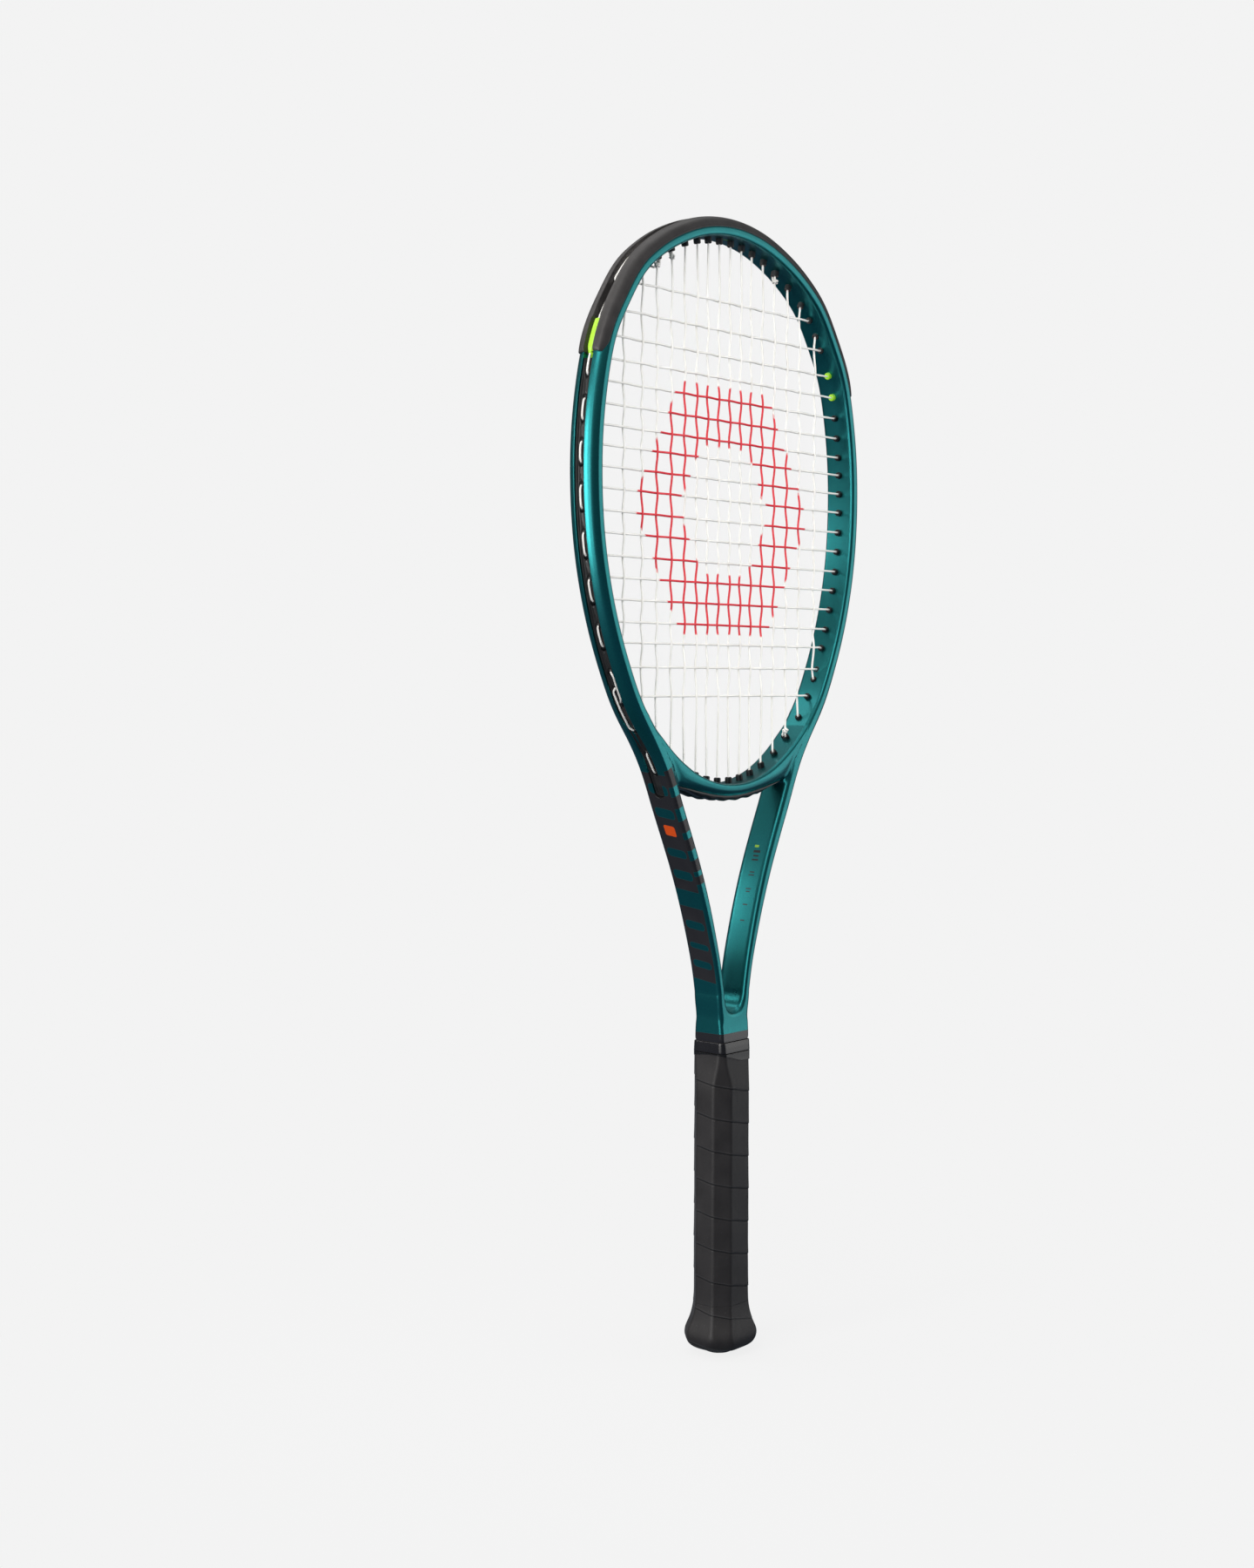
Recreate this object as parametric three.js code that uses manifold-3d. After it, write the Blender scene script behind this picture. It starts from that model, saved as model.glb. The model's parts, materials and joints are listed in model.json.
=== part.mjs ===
// Tennis racket, 27 inch, 98 square inch head, 16 by 19 string pattern, 21 mm beam.
// Millimetres. +Z runs from the butt cap to the tip of the head, X is across the
// head, Y is across the thickness of the beam. The origin is the centre of the flat
// end of the butt cap.
import * as THREE from 'three';
import { mergeVertices } from 'three/addons/utils/BufferGeometryUtils.js';
import Module from 'manifold-3d';

// ------------------------------------------------------------ driving dimensions
const LENGTH = 685.8;          // butt end to crown of the bumper guard
const H = 10.3;                // half thickness of the beam
const HOOP_DEPTH = 9.9;        // inner face to outer crown, in the string plane
const GROOVE_HALF = 3.5;       // half width of the string groove round the head
const GROOVE_DEPTH = 3.7;
const WALL = 1.8;              // laminate wall
const GAP = 0.3;               // assembly gap between touching pieces
const STRIP_HALF = 3.15;       // half width of the grommet strip base
const STRIP_T = 1.1;           // thickness of the grommet strip base
const BARREL_R = 2.2;          // grommet barrel, outside
const BORE_R = 1.2;            // grommet barrel, bore
const HOLE_R = 2.62;           // drilling in the frame for a barrel
const STRING_R = 0.65;         // 1.3 mm string, 16 gauge
const WEAVE = 1.55;            // how far a cross string passes above or below a main
const LANE = 1.6;              // side lane of the groove, for a string passing a hole
const SHAFT_HALF_X = 14.3;     // shaft above the handle, half width
const GRIP_X = 16.5;           // half width of the wrapped handle (x)
const GRIP_Y = 14.4;           // half depth of the wrapped handle (y)
const GRIP_BEVEL = 7.9;        // bevel of the octagon, along X and along Y
const GRIP_T = 1.7;            // thickness of the grip tape
const GRIP_TOP = 183;          // where the grip ends at the top
const GRIP_PITCH = 19.6;       // advance of the grip tape for each turn
const BUTT_Z = 26;             // height of the butt cap flare
const MAIN_X = [5.45, 16.01, 26.37, 37.65, 50.0, 63.13, 76.53, 92.73];
const CROSS_Z = [635.81, 618.75, 603.51, 590.53, 577.68, 565.11, 553.03, 541.77, 529.8, 517.85,
  505.15, 492.8, 479.96, 467.71, 455.35, 442.7, 430.91, 417.03, 400.17];
// inner face of the hairpin tube, right half, from the tip down to the fork: x, z
const INNER = [[0, 673], [28, 669.6], [54.2, 660], [70.6, 650.6], [84, 640], [98.4, 620.4], [109.8, 600],
  [119, 560], [121.1, 520], [117.2, 480], [106.4, 440], [87.9, 400], [80.2, 389.3], [72.5, 380],
  [66, 371.3], [59.6, 361], [53.8, 348.8], [49.2, 338], [40, 318], [30.9, 297], [23.1, 275.5],
  [16.6, 254], [12.2, 236.8], [9.4, 222]];
// top of the throat bridge, which closes the oval: x, z
const BRIDGE = [[0, 347.2], [12, 348.0], [24, 350.6], [35, 354.4], [45.9, 360.0], [54.5, 365.6], [62, 371.2], [68, 376.2]];

// ------------------------------------------------------------ small helpers
const wasm = await Module();
wasm.setup();

const signedVolume = (pos, idx) => {
  let v = 0;
  for (let i = 0; i < idx.length; i += 3) {
    const [a, b, c] = [idx[i] * 3, idx[i + 1] * 3, idx[i + 2] * 3];
    v += (pos[a] * (pos[b + 1] * pos[c + 2] - pos[b + 2] * pos[c + 1])
      - pos[a + 1] * (pos[b] * pos[c + 2] - pos[b + 2] * pos[c])
      + pos[a + 2] * (pos[b] * pos[c + 1] - pos[b + 1] * pos[c])) / 6;
  }
  return v;
};

// closed solid from a geometry whose faces close on themselves
function solid(geometry) {
  let g = geometry.clone();
  for (const name of Object.keys(g.attributes)) if (name !== 'position') g.deleteAttribute(name);
  g = mergeVertices(g, 1e-4);
  const pos = Float32Array.from(g.attributes.position.array);
  let idx = [];
  const src = g.index.array;
  for (let i = 0; i < src.length; i += 3) {
    if (src[i] !== src[i + 1] && src[i + 1] !== src[i + 2] && src[i] !== src[i + 2]) idx.push(src[i], src[i + 1], src[i + 2]);
  }
  if (signedVolume(pos, idx) < 0) for (let i = 0; i < idx.length; i += 3) [idx[i + 1], idx[i + 2]] = [idx[i + 2], idx[i + 1]];
  return new wasm.Manifold(new wasm.Mesh({ numProp: 3, vertProperties: pos, triVerts: Uint32Array.from(idx) }));
}

function geometryOf(manifold) {
  const m = manifold.getMesh();
  const g = new THREE.BufferGeometry();
  g.setAttribute('position', new THREE.BufferAttribute(Float32Array.from(m.vertProperties), 3));
  g.setIndex(Array.from(m.triVerts));
  return g;
}

// skin through a list of rings (arrays of Vector3, same count), capped at both ends
function loft(rings, closed = false) {
  const n = rings[0].length;
  const pos = [];
  for (const r of rings) for (const p of r) pos.push(p.x, p.y, p.z);
  const idx = [];
  const last = closed ? rings.length : rings.length - 1;
  for (let i = 0; i < last; i++) {
    const a = i * n, b = ((i + 1) % rings.length) * n;
    for (let j = 0; j < n; j++) {
      const k = (j + 1) % n;
      idx.push(a + j, a + k, b + j, b + j, a + k, b + k);
    }
  }
  if (!closed) {
    for (const [base, flip] of [[0, true], [(rings.length - 1) * n, false]]) {
      const ring = rings[base / n];
      const o = ring[0];
      let nx = new THREE.Vector3();
      for (let j = 0; j < n; j++) {
        const a = ring[j].clone().sub(o), b = ring[(j + 1) % n].clone().sub(o);
        nx.add(a.cross(b));
      }
      nx.normalize();
      const u = new THREE.Vector3(Math.abs(nx.y) > 0.9 ? 1 : 0, Math.abs(nx.y) > 0.9 ? 0 : 1, 0).cross(nx).normalize();
      const v = nx.clone().cross(u);
      const flat = ring.map((p) => new THREE.Vector2(p.clone().sub(o).dot(u), p.clone().sub(o).dot(v)));
      for (const f of THREE.ShapeUtils.triangulateShape(flat, [])) {
        if (flip) idx.push(base + f[2], base + f[1], base + f[0]);
        else idx.push(base + f[0], base + f[1], base + f[2]);
      }
    }
  }
  const g = new THREE.BufferGeometry();
  g.setAttribute('position', new THREE.Float32BufferAttribute(pos, 3));
  g.setIndex(idx);
  return g;
}

// round bar through points; radius may differ from point to point
function bar(points, radius, sides = 6, squash = 1) {
  const P = points.map((p) => p.clone());
  const R = Array.isArray(radius) ? radius : P.map(() => radius);
  const rings = [];
  let up = null;
  for (let i = 0; i < P.length; i++) {
    const t0 = i > 0 ? P[i].clone().sub(P[i - 1]).normalize() : null;
    const t1 = i < P.length - 1 ? P[i + 1].clone().sub(P[i]).normalize() : null;
    const t = (t0 && t1) ? t0.clone().add(t1).normalize() : (t0 || t1).clone();
    if (!up) {
      up = new THREE.Vector3(0, 1, 0);
      if (Math.abs(up.dot(t)) > 0.9) up.set(1, 0, 0);
    }
    up.sub(t.clone().multiplyScalar(up.dot(t))).normalize();
    const side = t.clone().cross(up).normalize();
    // stretch the mitre across the bend so that the bar keeps its thickness
    let bend = new THREE.Vector3(), k = 1;
    if (t0 && t1) {
      bend = t1.clone().sub(t0);
      const c = t.dot(t0);
      if (bend.length() > 1e-6) { bend.normalize(); k = Math.min(1 / Math.max(c, 0.5), 1.6); }
    }
    const ring = [];
    for (let j = 0; j < sides; j++) {
      const a = (j + 0.5) / sides * Math.PI * 2;
      const off = up.clone().multiplyScalar(Math.cos(a) * R[i] * squash).add(side.clone().multiplyScalar(Math.sin(a) * R[i]));
      off.add(bend.clone().multiplyScalar(off.dot(bend) * (k - 1)));
      ring.push(P[i].clone().add(off));
    }
    rings.push(ring);
  }
  return loft(rings);
}

const unionAll = (list) => list.reduce((a, b) => a.add(b));
const lerp = (a, b, t) => a + (b - a) * t;
const smooth = (t) => { const c = Math.min(1, Math.max(0, t)); return c * c * (3 - 2 * c); };

// ------------------------------------------------------------ the head line
// signed length along the inner face: 0 at the tip, positive down the right side
const innerCurve = new THREE.CatmullRomCurve3(
  [...INNER.slice(1, 3).reverse().map(([x, z]) => new THREE.Vector3(-x, 0, z)), ...INNER.map(([x, z]) => new THREE.Vector3(x, 0, z))],
  false, 'centripetal');
const dense = [];
{
  const raw = innerCurve.getPoints(2400).filter((p) => p.x > 1e-6);
  dense.push({ p: new THREE.Vector3(0, 0, INNER[0][1]), s: 0 });
  let s = 0, prev = dense[0].p;
  for (const p of raw) { s += p.distanceTo(prev); dense.push({ p: p.clone(), s }); prev = p; }
}
const S_END = dense[dense.length - 1].s;
function at(s) {
  const q = Math.abs(s), sign = s < 0 ? -1 : 1;
  let i = 0, lo = 0, hi = dense.length - 1;
  while (hi - lo > 1) { const m = (lo + hi) >> 1; if (dense[m].s < q) lo = m; else hi = m; }
  i = lo;
  const a = dense[i], b = dense[hi];
  const f = b.s > a.s ? (q - a.s) / (b.s - a.s) : 0;
  const p = a.p.clone().lerp(b.p, f);
  const i0 = Math.max(0, i - 12), i1 = Math.min(dense.length - 1, i + 12);
  const t = q < 1e-9 ? new THREE.Vector3(1, 0, 0) : dense[i1].p.clone().sub(dense[i0].p).normalize();
  if (q < 2) t.set(1, 0, 0);
  const n = new THREE.Vector3(-t.z, 0, t.x);
  p.x *= sign; n.x *= sign;
  return { p, n };
}
const sAtZ = (z, from = 60) => { for (const d of dense) if (d.s > from && d.p.z <= z) return d.s; return S_END; };
const S_ARM0 = sAtZ(402), S_ARM1 = sAtZ(352);         // hoop section turns into arm section
const armMix = (s) => smooth((Math.abs(s) - S_ARM0) / (S_ARM1 - S_ARM0));
// depth of the arm section, measured square to its inner face
const armDepth = (s) => {
  const z = at(s).p.z;
  const T = [[222, 6.1], [237, 6.1], [254, 6.5], [275.5, 7.0], [297, 7.5], [318, 7.9], [348, 8.2], [372, 8.6], [402, 9.4]];
  for (let i = 1; i < T.length; i++) if (z <= T[i][0]) return lerp(T[i - 1][1], T[i][1], Math.max(0, (z - T[i - 1][0]) / (T[i][0] - T[i - 1][0])));
  return 9.6;
};
const depth = (s) => lerp(HOOP_DEPTH, armDepth(s), armMix(s));
const floorAt = (s) => depth(s) - GROOVE_DEPTH;
const put = (s, n, y) => { const f = at(s); return new THREE.Vector3(f.p.x + f.n.x * n, y, f.p.z + f.n.z * n); };

// distance of a point from the inner face, and where along it
function locate(p) {
  const side = p.x < 0 ? -1 : 1;
  const q = new THREE.Vector3(Math.abs(p.x), 0, p.z);
  let best = 1e9, k = 0;
  for (let i = 0; i < dense.length; i++) { const d = dense[i].p.distanceToSquared(q); if (d < best) { best = d; k = i; } }
  const f = at(dense[k].s);
  return { s: dense[k].s * side, n: q.clone().sub(f.p).dot(f.n) };
}

// half of the tube section, from the inner face round to the outer crown
function section(s, grow = 0) {
  const m = armMix(s), w = depth(s);
  const hoop = [[0, 7.6], [0.7, 9.6], [2.4, H], [4.8, H], [w - 0.5, 5.2], [w, 3.9]];
  const arm = [[0, 6.3], [1.2, 9.1], [4.0 - Math.max(0, 7.5 - w) * 0.6, H], [w - 2.2, H], [w - 0.1, 8.2], [w, 3.9]];
  const half = hoop.map((h, i) => [lerp(h[0], arm[i][0], m), lerp(h[1], arm[i][1], m)]);
  const full = [...half, ...half.map(([n, y]) => [n, -y]).reverse()];
  if (!grow) return full;
  const c = [w / 2, 0];
  return full.map(([n, y]) => [n + Math.sign(n - c[0]) * grow, y + Math.sign(y) * grow]);
}
const stations = [];
{
  for (let i = 0; i < 22; i++) stations.push(S_ARM0 * i / 22);
  for (let i = 0; i <= 12; i++) stations.push(lerp(S_ARM0, S_END, i / 12));
}
// shared stations between two places, so that parts nested in each other have the same facets
function between(a, b) {
  const all = [...stations.slice(1).map((s) => -s).reverse(), ...stations];
  return [a, ...all.filter((s) => s > a + 2.5 && s < b - 2.5), b];
}
// fork: the inner face swings in to the middle of the shaft
const FORK = [[8.7, 217, 14.9, 216], [7.6, 213, 14.5, 212.4], [5.6, 210.3, 14.35, 210], [3.0, 208.7, SHAFT_HALF_X, 208.7], [-0.4, 208, SHAFT_HALF_X, 208]];
function forkRing([xi, zi, xo, zo], f) {
  const w = Math.hypot(xo - xi, zo - zi), u = [(xo - xi) / w, (zo - zi) / w];
  const r = lerp(3.2, 0.05, f);
  const half = [[0, H - 1.25 * r], [r * 0.3, H - 0.3 * r], [r, H], [w - 2.2, H], [w - 0.1, 8.2], [w, 3.9]];
  return [...half, ...half.map(([n, y]) => [n, -y]).reverse()].map(([n, y]) => new THREE.Vector3(xi + u[0] * n, y, zi + u[1] * n));
}
const blockRing = (z, x0, x1, hy, r = 2.2) => {
  const half = [[x0, hy - 0.06], [x0 + 0.02, hy - 0.02], [x0 + 0.05, hy], [x1 - r, hy], [x1 - 0.1, hy - r + 0.1], [x1, Math.min(3.9, hy * 0.4)]];
  return [...half, ...half.map(([n, y]) => [n, -y]).reverse()].map(([x, y]) => new THREE.Vector3(x, y, z));
};
const INSERT_X = 11.2, INSERT_Y = 8.4;                 // tube inside the handle
function hairpinHalf(grow = 0) {
  const rings = stations.map((s) => section(s, grow).map(([n, y]) => put(s, n, y)));
  if (grow) return solid(loft(rings));
  FORK.forEach((r, i) => rings.push(forkRing(r, (i + 1) / FORK.length)));
  rings.push(blockRing(204.5, -0.4, 14.15, 10.5, 2.6));
  rings.push(blockRing(196.3, -0.4, 14.0, 10.8, 3.0));
  rings.push(blockRing(191.6, -0.4, 13.5, 10.3, 3.0));
  rings.push(blockRing(187.6, -0.4, 13.4, 10.2, 3.0));
  rings.push(blockRing(184.6, -0.4, INSERT_X, INSERT_Y, 2.0));
  rings.push(blockRing(9, -0.4, INSERT_X, INSERT_Y, 2.0));
  return solid(loft(rings));
}
function cavityHalf() {
  const rings = [];
  for (const s of stations.filter((q, i) => i % 2 === 0 || i === stations.length - 1)) {
    const m = armMix(s), w = depth(s);
    const z = at(s).p.z;
    const inGroove = smooth((340 - z) / 10);
    const n1 = lerp(w - 5.5, w - WALL, inGroove);
    const y1 = lerp(8.0, 7.2, m), n0 = WALL;
    rings.push([[n0, -y1], [n0, y1], [n1, y1 - 0.2], [n1, -y1 + 0.2]].map(([n, y]) => put(s, n, y)));
  }
  const box = (z0, x0, z1, x1, y1) => [new THREE.Vector3(x0, -y1, z0), new THREE.Vector3(x0, y1, z0), new THREE.Vector3(x1, y1 - 0.2, z1), new THREE.Vector3(x1, -y1 + 0.2, z1)];
  rings.push(box(216.6, 10.4, 216.2, 13.0, 7.4), box(211, 9.2, 210.6, 12.5, 7.8), box(204, 1.3, 204, 12.4, 8.4), box(190.5, 1.3, 190.5, 11.6, 8.2),
    box(184, 1.3, 184, 9.4, 6.6), box(6, 1.3, 6, 9.4, 6.6));
  return solid(loft(rings));
}
const mirrorX = (g) => {
  const c = g.clone();
  const p = c.attributes.position;
  for (let i = 0; i < p.count; i++) p.setX(i, -p.getX(i));
  const a = c.index.array;
  for (let i = 0; i < a.length; i += 3) { const t = a[i + 1]; a[i + 1] = a[i + 2]; a[i + 2] = t; }
  return c;
};
const mirrored = (m) => solid(mirrorX(geometryOf(m)));

// sweep of a section (list of [n, y], n from a base line that may follow the groove floor)
function sweep(s0, s1, outline) {
  return solid(loft(between(s0, s1).map((s) => outline(s).map(([n, y]) => put(s, n, y)))));
}

// ------------------------------------------------------------ throat bridge line
const bridgeCurve = new THREE.CatmullRomCurve3(
  [...BRIDGE.slice(1).reverse().map(([x, z]) => new THREE.Vector3(-x, 0, z)), ...BRIDGE.map(([x, z]) => new THREE.Vector3(x, 0, z))], false, 'centripetal');
const bridgePts = bridgeCurve.getPoints(1200);
function bridgeAt(x) {
  let k = 0, best = 1e9;
  for (let i = 0; i < bridgePts.length; i++) { const d = Math.abs(bridgePts[i].x - x); if (d < best) { best = d; k = i; } }
  const a = bridgePts[Math.max(0, k - 8)], b = bridgePts[Math.min(bridgePts.length - 1, k + 8)];
  const t = b.clone().sub(a).normalize();
  return { p: new THREE.Vector3(x, 0, bridgePts[k].z), n: new THREE.Vector3(t.z, 0, -t.x) };   // n points down and out
}

function bridgeFoot(q) {
  let best = 1e9, k = 0;
  for (let i = 0; i < bridgePts.length; i++) { const d = bridgePts[i].distanceToSquared(q); if (d < best) { best = d; k = i; } }
  return bridgePts[k].x;
}
const bridgeDepth = (q) => { const f = bridgeAt(bridgeFoot(q)); return q.clone().sub(f.p).dot(f.n); };

// ------------------------------------------------------------ grommets
// each: start of barrel inside the oval (tip), direction outwards, bore, lane of a second string
const holes = [];
const S_LIME0 = sAtZ(611.5), S_LIME1 = sAtZ(587), S_BUMPER_END = sAtZ(592.5);
const S_STRIP1 = sAtZ(343.5);
const sFor = (pred) => { for (let i = 1; i < dense.length; i++) if (pred(dense[i - 1].p, dense[i].p)) return dense[i].s; throw new Error('no grommet station'); };
function addHole(name, tip, dir, opts = {}) {
  dir = dir.clone().normalize();
  let t = 0, q = tip.clone();
  const reach = opts.bridge ? null : 1;
  if (reach) {
    for (t = 2; t < 40; t += 0.05) { q = tip.clone().addScaledVector(dir, t); const l = locate(q); if (l.n > floorAt(l.s) + GAP + STRIP_T) break; }
  } else {
    for (t = 2; t < 40; t += 0.05) { q = tip.clone().addScaledVector(dir, t); if (bridgeDepth(q) > BR_FLOOR + GAP + STRIP_T) break; }
  }
  const s = opts.bridge ? null : locate(q).s;
  holes.push({ name, tip, dir, len: t, exit: q, s, ...opts });
}
const BRIDGE_X = [-37.65, -32, -26.37, -16.01, 0, 16.01, 26.37, 32, 37.65];
const BR_FLOOR = 6.1;          // floor of the recess under the bridge, below its top face
const V = (x, y, z) => new THREE.Vector3(x, y, z);
for (const side of [-1, 1]) {
  MAIN_X.forEach((x, i) => {
    const tag = (side < 0 ? 'L' : 'R') + (i + 1);
    // upper end
    const st = sFor((a, b) => a.x <= x && b.x > x && b.z > 600);
    const ft = at(st);
    const dt = V(ft.n.x * 0.75 * side, 0, 0.25 + ft.n.z * 0.75);
    const pro = i === 7 ? 2.6 : 3.6;
    addHole('mt' + tag, V(x * side, 0, ft.p.z - pro), dt, { tie: i === 4 ? 1 : (i === 5 && side < 0 ? -1 : 0) });
    // lower end
    if (x < 40) {
      const f = bridgeAt(x * side);
      addHole('mb' + tag, V(x * side, 0, f.p.z + 3.8), V(f.n.x * 0.6, 0, -0.4 + f.n.z * 0.6), { bridge: true, tie: 0 });
    } else if (x < 70) {
      const f = bridgeAt(x * side);
      const to = i === 4 ? V(66.6 * side, 0, 352.6) : V(74.4 * side, 0, 364.6);
      const tip = V(x * side, 0, f.p.z + 3.2);
      addHole('mb' + tag, tip, to.sub(tip), { wide: 0.2, tie: i === 5 && side > 0 ? 1 : 0 });
    } else {
      const sb = sFor((a, b) => a.x >= x && b.x < x && b.z < 470);
      const fb = at(sb);
      addHole('mb' + tag, V(x * side, 0, fb.p.z + (i === 7 ? 2.4 : 2.8)), V(fb.n.x * 0.75 * side, 0, -0.25 + fb.n.z * 0.75), { wide: 0.2, tie: 0 });
    }
  });
  CROSS_Z.forEach((z, j) => {
    const sc = sFor((a, b) => a.z >= z && b.z < z && b.x > 40);
    const f = at(sc);
    const pro = j === 17 ? -0.1 : (j === 1 ? 1.4 : 2.4);
    addHole('c' + (side < 0 ? 'L' : 'R') + (j + 1), V((f.p.x - pro) * side, 0, z), V((0.25 + f.n.x * 0.75) * side, 0, f.n.z * 0.75), { tie: 0 });
  });
}
const hole = Object.fromEntries(holes.map((h) => [h.name, h]));
const hasTie = (h) => h.tie;
function barrelSolid(h) {
  const end = h.tip.clone().addScaledVector(h.dir, h.len - 0.5);
  const b = solid(bar([h.tip, end], BARREL_R, 5));
  if (!h.tie) return b;
  const sh = V(0, LANE * h.tie, 0);
  return b.add(solid(bar([h.tip.clone().add(sh), end.clone().add(sh)], BARREL_R - 0.75, 5)));
}
function boreSolid(h) {
  const a = h.tip.clone().addScaledVector(h.dir, -1), b = h.tip.clone().addScaledVector(h.dir, h.len + 3);
  const c = solid(bar([a, b], BORE_R + (h.wide || 0), 4));
  if (!h.tie) return c;
  const sh = V(0, (LANE + 0.05) * h.tie, 0);
  return c.add(solid(bar([a.clone().add(sh), b.clone().add(sh)], BORE_R - 0.08, 4)));
}
function drillSolid(h) {
  const a = h.tip.clone().addScaledVector(h.dir, -2), b = h.tip.clone().addScaledVector(h.dir, h.len + 2);
  const c = solid(bar([a, b], HOLE_R, 5));
  if (!h.tie) return c;
  const sh = V(0, LANE * h.tie, 0);
  return c.add(solid(bar([a.clone().add(sh), b.clone().add(sh)], BARREL_R - 0.75 + 0.42, 5)));
}

// ------------------------------------------------------------ frame: hairpin tube
const drills = unionAll(holes.filter((h) => !h.bridge).map(drillSolid));
const bridgeDrills = unionAll(holes.filter((h) => h.bridge || /^mb[LR][56]$/.test(h.name)).map(drillSolid));
let hairpin = hairpinHalf();
hairpin = hairpin.add(mirrored(hairpin));
{
  const cav = cavityHalf();
  hairpin = hairpin.subtract(cav.add(mirrored(cav)));
  const groove = sweep(-S_STRIP1, S_STRIP1, (s) => { const f = floorAt(s); return [[f, GROOVE_HALF], [f + 8, GROOVE_HALF], [f + 8, -GROOVE_HALF], [f, -GROOVE_HALF]]; });
  hairpin = hairpin.subtract(groove).subtract(drills);
}

// ------------------------------------------------------------ frame: throat bridge
const UNDER = [[0, 339.4], [12, 340.1], [23, 341.9], [33, 344.0], [41, 344.6], [46.5, 343.0], [51.5, 338.4], [55.5, 333]];
function bridgeRing(i, side) {
  const [xi, zi] = BRIDGE[i], [xo, zo] = UNDER[i];
  const w = Math.hypot(xo - xi, zo - zi), u = [(xo - xi) / w, (zo - zi) / w];
  const half = [[0, 7.6], [0.7, 9.6], [2.2, H], [4.3, H], [w * 0.72, 8.4], [w, 5.4]];
  return [...half, ...half.map(([n, y]) => [n, -y]).reverse()].map(([n, y]) => V((xi + u[0] * n) * side, y, zi + u[1] * n));
}
let bridge;
{
  const rings = [];
  for (let i = BRIDGE.length - 1; i > 0; i--) rings.push(bridgeRing(i, -1));
  for (let i = 0; i < BRIDGE.length; i++) rings.push(bridgeRing(i, 1));
  bridge = solid(loft(rings));
  // hollow core, open through the string holes
  const core = [];
  for (const x of [-40, -30, -20, -10, 0, 10, 20, 30, 40]) {
    const f = bridgeAt(x);
    core.push([[1.7, -7.6], [1.7, 7.6], [4.4, 7.4], [4.4, -7.4]].map(([n, y]) => f.p.clone().addScaledVector(f.n, n).add(V(0, y, 0))));
  }
  const recess = [];
  for (const x of [-47.5, ...BRIDGE_X, 47.5]) {
    const f = bridgeAt(x);
    recess.push([[BR_FLOOR, -6.1], [BR_FLOOR, 6.1], [BR_FLOOR + 6, 6.1], [BR_FLOOR + 6, -6.1]].map(([n, y]) => f.p.clone().addScaledVector(f.n, n).add(V(0, y, 0))));
  }
  const swollen = hairpinHalf(GAP);
  bridge = bridge.subtract(swollen).subtract(mirrored(swollen)).subtract(solid(loft(core))).subtract(solid(loft(recess))).subtract(bridgeDrills);
  const parts = bridge.decompose().sort((a, b) => b.volume() - a.volume());
  bridge = parts[0];
}

// ------------------------------------------------------------ bumper guard and grommet strips
const bores = unionAll(holes.map(boreSolid));
const base = (s) => { const f = floorAt(s) + GAP; return [[f, STRIP_HALF], [f + STRIP_T, STRIP_HALF], [f + STRIP_T, -STRIP_HALF], [f, -STRIP_HALF]]; };
const isIn = (h, a, b) => !h.bridge && h.s > a && h.s < b;
let bumper;
{
  const outline = (s) => {
    const f = floorAt(s) + GAP, taper = smooth((S_LIME0 + 2 - Math.abs(s)) / 14), c = lerp(11.9, LENGTH - 673, taper);
    const half = [[f, STRIP_HALF], [10.2, STRIP_HALF], [10.2, 5.0], [5.35, 10.05], [6.5, 10.1], [10.4, 7.4], [c, 4.7], [c, 3.0], [f + STRIP_T, 2.45]];
    return [...half, ...half.map(([n, y]) => [n, -y]).reverse()];
  };
  bumper = sweep(-S_LIME0, S_LIME0, outline);
  for (const side of [-1, 1]) for (const k of [-1, 1]) {
    const prong = (s) => {
      const e = smooth((Math.abs(s) - S_BUMPER_END + 9) / 9);
      return [[10.2, k * 3.9], [10.2, k * 5.0], [lerp(5.35, 7.6, e), k * lerp(10.05, 7.7, e)], [lerp(6.5, 8.2, e), k * lerp(10.1, 7.9, e)], [10.4, k * lerp(7.4, 6.6, e)], [lerp(11.9, 11.2, e), k * 4.7], [lerp(11.9, 11.2, e), k * 3.9]];
    };
    const rings = [];
    for (let i = 0; i <= 4; i++) { const s = lerp(S_LIME0 - 4, S_BUMPER_END, i / 4) * side; rings.push(prong(s).map(([n, y]) => put(s, n, y))); }
    bumper = bumper.add(solid(loft(rings)));
  }
  bumper = bumper.add(unionAll(holes.filter((h) => isIn(h, -S_LIME0, S_LIME0)).map(barrelSolid))).subtract(bores);
}
const strips = {};
for (const [side, tag] of [[-1, 'left'], [1, 'right']]) {
  const a = (S_LIME1 + GAP), b = S_STRIP1 - 1.5;
  let m = sweep(side < 0 ? -b : a, side < 0 ? -a : b, base);
  m = m.add(unionAll(holes.filter((h) => !h.bridge && h.s * side > a && h.s * side < S_STRIP1).map(barrelSolid))).subtract(bores);
  strips[tag] = m;
  let t = sweep(side < 0 ? -S_LIME1 : S_LIME0 + GAP, side < 0 ? -(S_LIME0 + GAP) : S_LIME1, (s) => {
    const f = floorAt(s) + GAP, c = Math.abs(s) < S_BUMPER_END ? 9.7 : 9.2;
    return [[f, STRIP_HALF], [c, STRIP_HALF], [c, 1.05], [f + STRIP_T, 1.0], [f + STRIP_T, -1.0], [c, -1.05], [c, -STRIP_HALF], [f, -STRIP_HALF]];
  });
  t = t.add(unionAll(holes.filter((h) => !h.bridge && h.s * side > S_LIME0 && h.s * side < S_LIME1).map(barrelSolid))).subtract(bores);
  strips['lime_' + tag] = t;
}
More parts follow.
